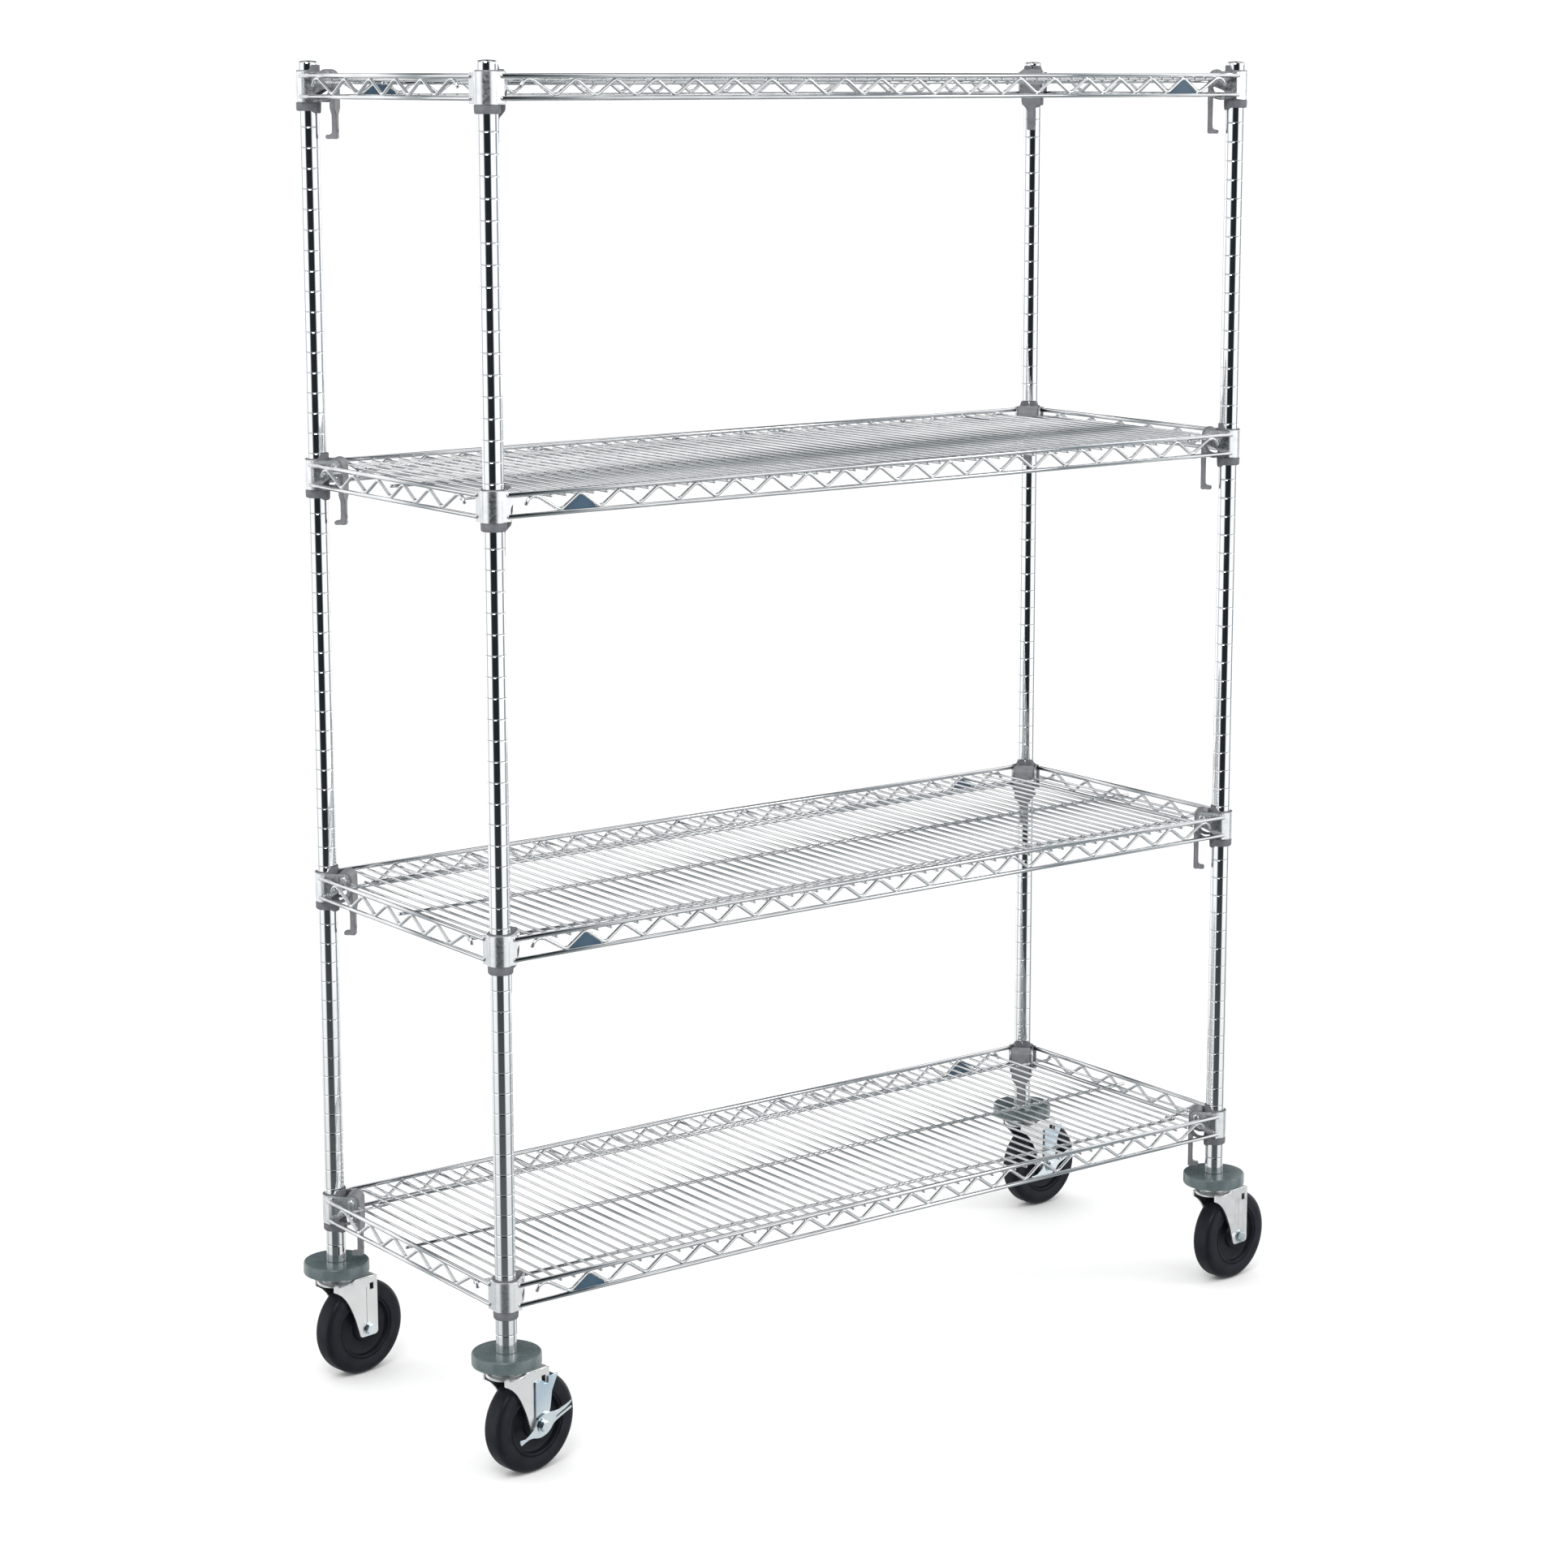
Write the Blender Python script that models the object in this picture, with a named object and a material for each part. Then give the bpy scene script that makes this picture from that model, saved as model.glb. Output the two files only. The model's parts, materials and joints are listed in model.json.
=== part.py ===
"""Mobile wire shelving rack.

Four posts on swivel casters carry four wire shelves. Each shelf corner is a collar that wedges on a
sleeve round its post and is held by a release lever. X runs along the shelves, Y from front to back
and Z up. The floor is z = 0, and the origin is under the middle of the whole rack, casters included.
"""

import math

import bmesh
import bpy
from mathutils import Euler, Matrix, Vector

MM = 0.001
GAP = 0.3 * MM  # clearance between neighbouring pieces

# Rack
SHELF_LENGTH = 1219.2 * MM
SHELF_DEPTH = 457.2 * MM
GROOVE_PITCH = 25.4 * MM
FIRST_COLLAR = 53.1 * MM  # from the posts' feet up to the bottom shelf's collars
SHELF_STEPS = {"lower": 17, "upper": 21, "top": 19}  # grooves from each shelf down to the next
POST_OVERHANG = 51.1 * MM  # from the feet of the top shelf's collars up to the posts' ends

# Posts
POST_RADIUS = 12.7 * MM
POST_WALL = 1.6 * MM
CAP_THICKNESS = 3.0 * MM
CAP_CHAMFER = 1.2 * MM

# Sleeves and collars
SLEEVE_WALL = 1.7 * MM
SLEEVE_SKIRT = 10.5 * MM
SLEEVE_RISE = 6.0 * MM
COLLAR_HEIGHT = 38.1 * MM
COLLAR_WALL = 1.3 * MM
WING_OVERHANG = 8.0 * MM  # how far the collar's wings reach past the lever's pin

# Release levers
PIN_RADIUS = 2.5 * MM
PIN_HEIGHT = 30.0 * MM
LEVER_HUB_RADIUS = 10.8 * MM
LEVER_PLAY = 0.5 * MM  # between a turning lever and its sleeve
WEB_DROP = 8.0 * MM
HANDLE_WIDTH = 11.0 * MM
HANDLE_THICKNESS = 7.0 * MM
HANDLE_DROP = 45.0 * MM
HOOK_LENGTH = 12.0 * MM
HOOK_THICKNESS = 6.0 * MM
HOOK_BEND = 3.0 * MM

# Shelf frames and decks
RAIL_OUTSTAND = 2.75 * MM
FRAME_FOOT = 4.3 * MM
FRAME_HEIGHT = 31.4 * MM
RAIL_WIDTH = 6.0 * MM
ZIGZAG_WIRE = 4.5 * MM
ZIGZAG_PITCH = 112.8 * MM
RAIL_END = 10.0 * MM
DECK_WIRE = 3.4 * MM
DECK_PITCH = 19.66 * MM
DECK_BORDER = 6.0 * MM
CORNER_NOTCH = 45.0 * MM
WELD_BITE = 0.4 * MM  # how far welded wires sink into each other

# Casters
WHEEL_RADIUS = 63.5 * MM
WHEEL_WIDTH = 32.0 * MM
HUB_RADIUS = 18.0 * MM
TYRE_DEPTH = 21.0 * MM
TYRE_CHAMFER = 5.0 * MM
WEB_RECESS = 8.0 * MM
TRAIL = 35.0 * MM
AXLE_RADIUS = 4.0 * MM
LEG_THICKNESS = 3.0 * MM
LEG_CLEARANCE = 2.5 * MM
LEG_HALF_WIDTH = 15.0 * MM
LEG_FOOT = 9.5 * MM  # how far a leg reaches below the axle
LEG_CORNER = 4.0 * MM
LEG_SLOT = (6.4 * MM, 9.0 * MM)  # width and height of the slot near the top of each leg
LEG_SLOT_EDGE = 6.2 * MM  # from the leg's trailing edge
LEG_SLOT_DROP = 9.5 * MM  # below the crown's top
CROWN_RADIUS = 26.0 * MM
CROWN_THICKNESS = 4.0 * MM
CROWN_CLEARANCE = 4.5 * MM
KINGPIN_RADIUS = 5.0 * MM
KINGPIN_HEAD = 9.0 * MM
KINGPIN_HEAD_DEPTH = 4.7 * MM
RACE_RADIUS = 20.0 * MM
RACE_THICKNESS = 10.2 * MM
BUMPER_RADIUS = 43.0 * MM
BUMPER_THICKNESS = 15.9 * MM
BUMPER_CHAMFER = 1.5 * MM
STEM_LENGTH = 60.0 * MM
BOLT_HEAD_RADIUS = 7.5 * MM
BOLT_HEAD_DEPTH = 4.5 * MM
BRAKE_PLATE = 2.0 * MM
BRAKE_ROCKER = 2.5 * MM
BRAKE_TOE = 50.0 * MM
BRAKE_HEEL = 40.0 * MM

# Rest directions of the casters' trail, in degrees anticlockwise from +X
SWIVEL_ANGLES = {"fl": 9.0, "rl": 9.0, "fr": 7.0, "rr": 3.0}
BRAKED = ("fl", "rr")

# Segments of round pieces. Posts, sleeves and collars share one number, so that their flats line up.
POST_SEGMENTS = 16
SMALL_SEGMENTS = 8
LEVER_SEGMENTS = 12
BUMPER_SEGMENTS = 20
WHEEL_SEGMENTS = 20

# Places worked out from the sizes above
SLEEVE_INNER = POST_RADIUS + GAP
SLEEVE_OUTER = SLEEVE_INNER + SLEEVE_WALL
COLLAR_INNER = SLEEVE_OUTER + GAP
COLLAR_OUTER = COLLAR_INNER + COLLAR_WALL
PIN_REACH = SLEEVE_OUTER + LEVER_PLAY + LEVER_HUB_RADIUS
COLLAR_WING = PIN_REACH + WING_OVERHANG
POST_INSET = COLLAR_OUTER + RAIL_OUTSTAND
HALF_X = SHELF_LENGTH / 2 - POST_INSET
HALF_Y = SHELF_DEPTH / 2 - POST_INSET
TRUSS_INNER = COLLAR_INNER + COLLAR_WALL / 3
FRAME_TOP = FRAME_FOOT + FRAME_HEIGHT
DECK_TOP = FRAME_TOP - RAIL_WIDTH
BAND_FOOT = DECK_TOP - DECK_WIRE - WELD_BITE
CROWN_BASE = 2 * WHEEL_RADIUS + CROWN_CLEARANCE
CROWN_TOP = CROWN_BASE + CROWN_THICKNESS
RACE_BASE = CROWN_TOP + GAP
RACE_TOP = RACE_BASE + RACE_THICKNESS
BUMPER_BASE = RACE_TOP + GAP
BUMPER_TOP = BUMPER_BASE + BUMPER_THICKNESS
POST_BASE = BUMPER_TOP + GAP
COLLAR_BASES = {"bottom": POST_BASE + FIRST_COLLAR}
for level, steps in SHELF_STEPS.items():
    COLLAR_BASES[level] = list(COLLAR_BASES.values())[-1] + steps * GROOVE_PITCH
RACK_HEIGHT = COLLAR_BASES["top"] + POST_OVERHANG
STEM_RADIUS = POST_RADIUS - POST_WALL - GAP
LEG_INNER = WHEEL_WIDTH / 2 + LEG_CLEARANCE
LEG_OUTER = LEG_INNER + LEG_THICKNESS
AXLE_BORE = (AXLE_RADIUS + GAP) / math.cos(math.pi / SMALL_SEGMENTS)  # clears the axle at any turn
MIDDLE_X = (BUMPER_RADIUS - TRAIL - WHEEL_RADIUS) / 2
CORNERS = {"fl": (-1, -1), "fr": (1, -1), "rl": (-1, 1), "rr": (1, 1)}


def clear_scene():
    for thing in list(bpy.data.objects):
        bpy.data.objects.remove(thing, do_unlink=True)


def finish_material(name, colour, roughness, metallic):
    made = bpy.data.materials.new(name)
    made.use_nodes = True
    shader = made.node_tree.nodes["Principled BSDF"]
    shader.inputs["Base Color"].default_value = (*colour, 1.0)
    shader.inputs["Roughness"].default_value = roughness
    shader.inputs["Metallic"].default_value = metallic
    return made


def add_object(name, mesh, material, place=(0, 0, 0), turn=0.0, parent=None):
    """A named object with its origin at place, turned about Z."""
    made = bpy.data.objects.new(name, mesh)
    if not mesh.materials:
        mesh.materials.append(material)
    bpy.context.scene.collection.objects.link(made)
    made.parent = parent
    made.location = place
    made.rotation_euler = Euler((0, 0, turn))
    return made


def arc(centre, radius, start, end, steps):
    """Points along an arc, both ends included. Angles are in degrees."""
    points = []
    for step in range(steps + 1):
        angle = math.radians(start + (end - start) * step / steps)
        points.append((centre[0] + radius * math.cos(angle), centre[1] + radius * math.sin(angle)))
    return points


def circle(centre, radius, segments):
    return arc(centre, radius, 0, 360, segments)[:-1]


def extruded(outlines, low, high):
    """A closed mesh from one outer outline and its holes, drawn in XY and extruded along Z."""
    curve = bpy.data.curves.new("outline", "CURVE")
    curve.dimensions = "2D"
    curve.fill_mode = "BOTH"
    curve.extrude = (high - low) / 2
    for outline in outlines:
        spline = curve.splines.new("POLY")
        spline.points.add(len(outline) - 1)
        spline.use_cyclic_u = True
        for point, (x, y) in zip(spline.points, outline):
            point.co = (x, y, 0, 1)
    holder = bpy.data.objects.new("outline", curve)
    bpy.context.scene.collection.objects.link(holder)
    bpy.context.view_layer.update()
    graph = bpy.context.evaluated_depsgraph_get()
    mesh = bpy.data.meshes.new_from_object(holder.evaluated_get(graph))
    bpy.data.objects.remove(holder, do_unlink=True)
    shape = bmesh.new()
    shape.from_mesh(mesh)
    bmesh.ops.remove_doubles(shape, verts=shape.verts, dist=0.00001)
    bmesh.ops.translate(shape, verts=shape.verts, vec=(0, 0, (low + high) / 2))
    bmesh.ops.recalc_face_normals(shape, faces=shape.faces)
    shape.to_mesh(mesh)
    shape.free()
    return mesh


def turned(profile, segments, phase=0.0):
    """A closed mesh made by turning a closed (radius, height) profile about Z."""
    shape = bmesh.new()
    rings = []
    for radius, height in profile:
        if radius == 0:
            rings.append([shape.verts.new((0, 0, height))])
            continue
        ring = []
        for step in range(segments):
            angle = 2 * math.pi * (step + phase) / segments
            ring.append(shape.verts.new((radius * math.cos(angle), radius * math.sin(angle), height)))
        rings.append(ring)
    for first, second in zip(rings, rings[1:] + rings[:1]):
        for step in range(segments):
            after = (step + 1) % segments
            corners = [first[step % len(first)], first[after % len(first)]]
            corners += [second[after % len(second)], second[step % len(second)]]
            face = list(dict.fromkeys(corners))
            if len(face) > 2:
                shape.faces.new(face)
    bmesh.ops.recalc_face_normals(shape, faces=shape.faces)
    mesh = bpy.data.meshes.new("turned")
    shape.to_mesh(mesh)
    shape.free()
    smooth(mesh)
    return mesh


def smooth(mesh):
    mesh.shade_smooth()
    mesh.set_sharp_from_angle(angle=math.radians(35))


def box(low, high):
    shape = bmesh.new()
    bmesh.ops.create_cube(shape, size=1.0)
    size = Vector(high) - Vector(low)
    bmesh.ops.scale(shape, verts=shape.verts, vec=size)
    bmesh.ops.translate(shape, verts=shape.verts, vec=(Vector(high) + Vector(low)) / 2)
    mesh = bpy.data.meshes.new("box")
    shape.to_mesh(mesh)
    shape.free()
    return mesh


def placed(mesh, matrix):
    """A copy of a mesh moved by a matrix."""
    made = mesh.copy()
    made.transform(matrix)
    return made


def joined(meshes, cutters=(), solver="EXACT"):
    """One closed mesh: the union of all meshes, less the cutters."""
    helpers = []

    def helper(mesh):
        made = bpy.data.objects.new("helper", mesh)
        bpy.context.scene.collection.objects.link(made)
        helpers.append(made)
        return made

    body = helper(meshes[0])
    for operation, others in (("UNION", meshes[1:]), ("DIFFERENCE", cutters)):
        for other in others:
            boolean = body.modifiers.new(operation.lower(), "BOOLEAN")
            boolean.operation = operation
            boolean.solver = solver
            boolean.object = helper(other)
    bpy.context.view_layer.update()
    graph = bpy.context.evaluated_depsgraph_get()
    mesh = bpy.data.meshes.new_from_object(body.evaluated_get(graph))
    for made in helpers:
        bpy.data.objects.remove(made, do_unlink=True)
    smooth(mesh)
    return mesh


def lying(mesh):
    """A mesh drawn in XY and extruded along Z, stood up: its Y becomes Z and its Z becomes -Y."""
    return placed(mesh, Matrix.Rotation(math.radians(90), 4, "X"))


def post_place(corner, height=0.0):
    across, along = CORNERS[corner]
    return Vector((MIDDLE_X + across * HALF_X, along * HALF_Y, height))


def inward_angle(corner):
    """Direction from a post to the middle of the shelf corner, along the corner's diagonal."""
    across, along = CORNERS[corner]
    return math.atan2(-along, -across)


def post_mesh():
    inner = POST_RADIUS - POST_WALL
    profile = [
        (inner, POST_BASE),
        (POST_RADIUS, POST_BASE),
        (POST_RADIUS, RACK_HEIGHT - CAP_CHAMFER),
        (POST_RADIUS - CAP_CHAMFER, RACK_HEIGHT),
        (0, RACK_HEIGHT),
        (0, RACK_HEIGHT - CAP_THICKNESS),
        (inner, RACK_HEIGHT - CAP_THICKNESS),
    ]
    return turned(profile, POST_SEGMENTS)


def sleeve_mesh():
    """A plain ring between post and collar, longer than the collar at both ends."""
    profile = [
        (SLEEVE_INNER, -SLEEVE_SKIRT),
        (SLEEVE_OUTER, -SLEEVE_SKIRT),
        (SLEEVE_OUTER, COLLAR_HEIGHT + SLEEVE_RISE),
        (SLEEVE_INNER, COLLAR_HEIGHT + SLEEVE_RISE),
    ]
    return turned(profile, POST_SEGMENTS)


def collar_mesh():
    """A U-shaped shell round the outer side of the post. Its wings hold the lever's pin."""
    steps = POST_SEGMENTS // 2
    outline = arc((0, 0), COLLAR_OUTER, 90, 270, steps)
    outline += [(COLLAR_WING, -COLLAR_OUTER), (COLLAR_WING, -COLLAR_INNER)]
    outline += arc((0, 0), COLLAR_INNER, 270, 90, steps)
    outline += [(COLLAR_WING, COLLAR_INNER), (COLLAR_WING, COLLAR_OUTER)]
    shell = extruded([outline], 0, COLLAR_HEIGHT)
    half = (COLLAR_INNER + COLLAR_OUTER) / 2
    pin = lying(extruded([circle((0, 0), PIN_RADIUS, SMALL_SEGMENTS)], -half, half))
    return joined([shell, placed(pin, Matrix.Translation((PIN_REACH, 0, PIN_HEIGHT)))])


def lever_mesh():
    """The lever about its pin: a hub and a web between the wings, and a narrow handle with a hook."""
    half = COLLAR_INNER - GAP
    hub = lying(extruded([circle((0, 0), LEVER_HUB_RADIUS, LEVER_SEGMENTS)], -half, half))
    outer = LEVER_HUB_RADIUS - WELD_BITE
    inner = outer - HANDLE_THICKNESS
    shoulder = -PIN_HEIGHT - WEB_DROP
    wide, neck = half - WELD_BITE, HANDLE_WIDTH / 2 - WELD_BITE
    across = [(wide, 0), (wide, shoulder), (neck, shoulder - wide + neck)]
    across += [(-x, height) for x, height in across[::-1]]
    facing_in = Matrix.Rotation(math.radians(90), 4, "Z")
    web = placed(lying(extruded([across], inner + WELD_BITE, outer - WELD_BITE)), facing_in)
    foot = -HANDLE_DROP - PIN_HEIGHT
    tip = inner - HOOK_LENGTH
    profile = [
        (inner, shoulder),
        (inner, foot + HOOK_THICKNESS),
        (tip, foot + HOOK_THICKNESS),
        (tip, foot),
        (outer - HOOK_BEND, foot),
        (outer, foot + HOOK_BEND),
        (outer, shoulder),
    ]
    handle = lying(extruded([profile], -HANDLE_WIDTH / 2, HANDLE_WIDTH / 2))
    bore = lying(extruded([circle((0, 0), PIN_RADIUS + GAP, SMALL_SEGMENTS)], -2 * half, 2 * half))
    return joined([hub, web, handle], [bore])


def shrunk(triangle, margin):
    """A triangle with each side moved in by margin, or None where nothing is left."""
    a, b, c = (Vector(point) for point in triangle)
    sides = ((b - c).length, (c - a).length, (a - b).length)
    centre = (a * sides[0] + b * sides[1] + c * sides[2]) / sum(sides)
    area = abs((b - a).cross(c - a)) / 2
    share = 1 - margin * sum(sides) / (2 * area)
    if share <= 0:
        return None
    return [tuple(centre + (point - centre) * share) for point in (a, b, c)]


def truss_mesh(half_length):
    """A flat frame side in the XZ plane: two rails with a zigzag wire between them.

    The upper band is deep enough to hold the ends of the deck wires, which lie under the top rail.
    """
    bays = max(1, round(2 * (half_length - POST_INSET) / ZIGZAG_PITCH))
    step = (half_length - POST_INSET) / bays
    low = FRAME_FOOT + RAIL_WIDTH - ZIGZAG_WIRE / 2
    high = BAND_FOOT + ZIGZAG_WIRE / 2
    points = []
    for index in range(2 * bays + 1):
        points.append((-bays * step + index * step, high if index % 2 else low))
    end = half_length + RAIL_END
    outlines = [[(-end, FRAME_FOOT), (end, FRAME_FOOT), (end, FRAME_TOP), (-end, FRAME_TOP)]]
    for triangle in zip(points, points[1:], points[2:]):
        hole = shrunk(triangle, ZIGZAG_WIRE / 2)
        if hole:
            outlines.append(hole)
    return lying(extruded(outlines, TRUSS_INNER, POST_INSET))


def deck_wires():
    """X of each deck wire, symmetric about the middle of the shelf."""
    count = int(HALF_X / DECK_PITCH)
    return [(index + 0.5) * DECK_PITCH for index in range(-count, count)]


def deck_mesh():
    """The deck wires, which run front to back, in a thin border that the frame sides hold."""
    edge = (TRUSS_INNER + POST_INSET) / 2
    outer = (HALF_X + edge, HALF_Y + edge)
    border = (outer[0] - DECK_BORDER, outer[1] - DECK_BORDER)
    wires = deck_wires()
    full = [x for x in wires if abs(x) < HALF_X - CORNER_NOTCH]
    notch = (full[-1] + DECK_WIRE / 2, HALF_Y - CORNER_NOTCH)
    outline = []
    for across, along in ((-1, -1), (1, -1), (1, 1), (-1, 1)):
        corner = [
            (across * outer[0], along * notch[1]),
            (across * notch[0], along * notch[1]),
            (across * notch[0], along * outer[1]),
        ]
        outline += corner if across * along > 0 else corner[::-1]
    edges = [-border[0]]
    for x in wires:
        edges += [x - DECK_WIRE / 2, x + DECK_WIRE / 2]
    edges.append(border[0])
    outlines = [outline]
    for left, right in zip(edges[::2], edges[1::2]):
        short = max(abs(left), abs(right)) > notch[0]
        reach = notch[1] - DECK_WIRE if short else border[1]
        outlines.append([(left, -reach), (right, -reach), (right, reach), (left, reach)])
    return extruded(outlines, DECK_TOP - DECK_WIRE, DECK_TOP)


def shelf_mesh():
    long_side = placed(truss_mesh(HALF_X), Matrix.Translation((0, -HALF_Y, 0)))
    short_side = placed(truss_mesh(HALF_Y), Matrix.Translation((0, -HALF_X, 0)))
    pieces = [deck_mesh()]
    for turn in (0, 180):
        pieces.append(placed(long_side, Matrix.Rotation(math.radians(turn), 4, "Z")))
        pieces.append(placed(short_side, Matrix.Rotation(math.radians(turn + 90), 4, "Z")))
    collar = collar_mesh()
    for corner, (across, along) in CORNERS.items():
        turn = Matrix.Rotation(inward_angle(corner), 4, "Z")
        pieces.append(placed(collar, Matrix.Translation((across * HALF_X, along * HALF_Y, 0)) @ turn))
    # EXACT leaves open edges among the deck's long thin faces.
    return joined(pieces, solver="MANIFOLD")


def bumper_mesh():
    inner = STEM_RADIUS + GAP
    profile = [
        (inner, BUMPER_BASE),
        (BUMPER_RADIUS, BUMPER_BASE),
        (BUMPER_RADIUS, BUMPER_TOP - BUMPER_CHAMFER),
        (BUMPER_RADIUS - BUMPER_CHAMFER, BUMPER_TOP),
        (inner, BUMPER_TOP),
    ]
    return turned(profile, BUMPER_SEGMENTS)


def stem_mesh():
    """The stem in the post, the bearing race under the bumper, and the kingpin that holds the fork."""
    head_top = CROWN_BASE - GAP
    profile = [
        (0, head_top - KINGPIN_HEAD_DEPTH),
        (KINGPIN_HEAD, head_top - KINGPIN_HEAD_DEPTH),
        (KINGPIN_HEAD, head_top),
        (KINGPIN_RADIUS, head_top),
        (KINGPIN_RADIUS, RACE_BASE),
        (RACE_RADIUS, RACE_BASE),
        (RACE_RADIUS, RACE_TOP),
        (STEM_RADIUS, RACE_TOP),
        (STEM_RADIUS, BUMPER_TOP + STEM_LENGTH),
        (0, BUMPER_TOP + STEM_LENGTH),
    ]
    return turned(profile, POST_SEGMENTS)


def wheel_mesh():
    """The wheel about its axle. Its flats, not its corners, lie at the wheel's radius."""
    half = WHEEL_WIDTH / 2
    rim = WHEEL_RADIUS / math.cos(math.pi / WHEEL_SEGMENTS)
    side = [
        (AXLE_RADIUS + GAP, half),
        (HUB_RADIUS, half),
        (HUB_RADIUS, half - WEB_RECESS),
        (WHEEL_RADIUS - TYRE_DEPTH, half - WEB_RECESS),
        (WHEEL_RADIUS - TYRE_DEPTH, half),
        (rim - TYRE_CHAMFER, half),
        (rim, half - TYRE_CHAMFER),
    ]
    profile = side + [(radius, -height) for radius, height in side[::-1]]
    wheel = turned(profile, WHEEL_SEGMENTS)
    flat_down = Matrix.Rotation(math.pi / WHEEL_SEGMENTS, 4, "Z")
    return lying(placed(wheel, flat_down))


def leg_outline():
    """Side view of a fork leg: a straight trailing edge, a swept leading edge and a round foot."""
    back = TRAIL + LEG_HALF_WIDTH
    front = TRAIL - LEG_HALF_WIDTH
    foot = WHEEL_RADIUS - LEG_FOOT
    root = -CROWN_RADIUS + 6 * MM
    outline = [(back, CROWN_TOP), (root, CROWN_TOP), (root, CROWN_BASE - 2 * MM)]
    outline += [(root + 9 * MM, CROWN_BASE - 11 * MM), (root + 19 * MM, CROWN_BASE - 26 * MM)]
    outline += [(front - 13 * MM, CROWN_BASE - 44 * MM), (front - 6 * MM, WHEEL_RADIUS + 10 * MM)]
    outline += [(front, foot + LEG_CORNER), (front + LEG_CORNER, foot)]
    outline += [(back - LEG_CORNER, foot), (back, foot + LEG_CORNER)]
    return outline


def fork_mesh(head_start):
    """The fork about the swivel axis, with its axle bolt. head_start is where the bolt's head begins."""
    legs = []
    side = TRAIL + LEG_HALF_WIDTH - LEG_SLOT_EDGE
    high = CROWN_TOP - LEG_SLOT_DROP
    slot = [(side, high), (side - LEG_SLOT[0], high), (side - LEG_SLOT[0], high - LEG_SLOT[1])]
    slot.append((side, high - LEG_SLOT[1]))
    for low in (LEG_INNER, -LEG_OUTER):
        legs.append(lying(extruded([leg_outline(), slot], low, low + LEG_THICKNESS)))
    disc = extruded([circle((0, 0), CROWN_RADIUS, POST_SEGMENTS)], CROWN_BASE, CROWN_TOP)
    channel = box((0, -LEG_OUTER, CROWN_BASE), (TRAIL + LEG_HALF_WIDTH, LEG_OUTER, CROWN_TOP))
    axle_place = Matrix.Translation((TRAIL, 0, WHEEL_RADIUS))
    head_end = head_start + BOLT_HEAD_DEPTH
    shank = extruded([circle((0, 0), AXLE_RADIUS, SMALL_SEGMENTS)], -LEG_OUTER, head_end - WELD_BITE)
    head = extruded([circle((0, 0), BOLT_HEAD_RADIUS, 6)], head_start, head_end)
    nut = extruded([circle((0, 0), BOLT_HEAD_RADIUS, 6)], -LEG_OUTER - BOLT_HEAD_DEPTH, -LEG_OUTER)
    bolt = [placed(lying(mesh), axle_place) for mesh in (shank, head, nut)]
    bore = circle((0, 0), KINGPIN_RADIUS + GAP, POST_SEGMENTS)
    hole = extruded([bore], CROWN_BASE - CROWN_THICKNESS, CROWN_TOP + CROWN_THICKNESS)
    return joined([channel, disc, *legs, *bolt], [hole])


def brake_plate_mesh():
    """The flat brake plate beside the leg, about the axle, wider towards its top."""
    top = CROWN_BASE - WHEEL_RADIUS - 8 * MM
    outline = [(-7 * MM, -6 * MM), (7 * MM, -6 * MM), (15 * MM, 19 * MM), (18 * MM, 40 * MM)]
    outline += [(28 * MM, top), (-10 * MM, top), (-10 * MM, 4 * MM)]
    bore = circle((0, 0), AXLE_BORE, SMALL_SEGMENTS)
    low = LEG_OUTER + GAP
    return lying(extruded([outline, bore], low, low + BRAKE_PLATE))


def brake_lever_mesh():
    """The rocking brake lever about the axle: a long toe behind it and a shorter heel in front."""
    slope = math.radians(20)
    toe = Vector((math.cos(slope), math.sin(slope)))
    side = Vector((-toe.y, toe.x))
    outline = []
    for along, across in ((-BRAKE_HEEL, -3), (-14 * MM, -7), (0, -11), (12 * MM, -9), (BRAKE_TOE, -6)):
        outline.append(tuple(toe * along + side * across * MM))
    for along, across in ((BRAKE_TOE + 3 * MM, 4), (14 * MM, 9), (0, 11), (-12 * MM, 7), (-BRAKE_HEEL, 4)):
        outline.append(tuple(toe * along + side * across * MM))
    bore = circle((0, 0), AXLE_BORE, SMALL_SEGMENTS)
    low = LEG_OUTER + BRAKE_PLATE + 2 * GAP
    return lying(extruded([outline, bore], low, low + BRAKE_ROCKER))


def build_posts(chrome):
    mesh = post_mesh()
    for corner in CORNERS:
        add_object(f"post_{corner}", mesh, chrome, post_place(corner))


def build_shelf(level, meshes, chrome, plastic, lever_plastic):
    """One shelf with the sleeve and the release lever of each of its corners."""
    height = COLLAR_BASES[level]
    shelf = add_object(f"shelf_{level}", meshes["shelf"], chrome, (MIDDLE_X, 0, height))
    for corner, (across, along) in CORNERS.items():
        place = Vector((across * HALF_X, along * HALF_Y, 0))
        turn = inward_angle(corner)
        add_object(f"sleeve_{level}_{corner}", meshes["sleeve"], plastic, place, turn, shelf)
        pin = Vector((math.cos(turn), math.sin(turn), 0)) * PIN_REACH + Vector((0, 0, PIN_HEIGHT))
        name = f"release_lever_{level}_{corner}"
        add_object(name, meshes["lever"], lever_plastic, place + pin, turn, shelf)


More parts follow.
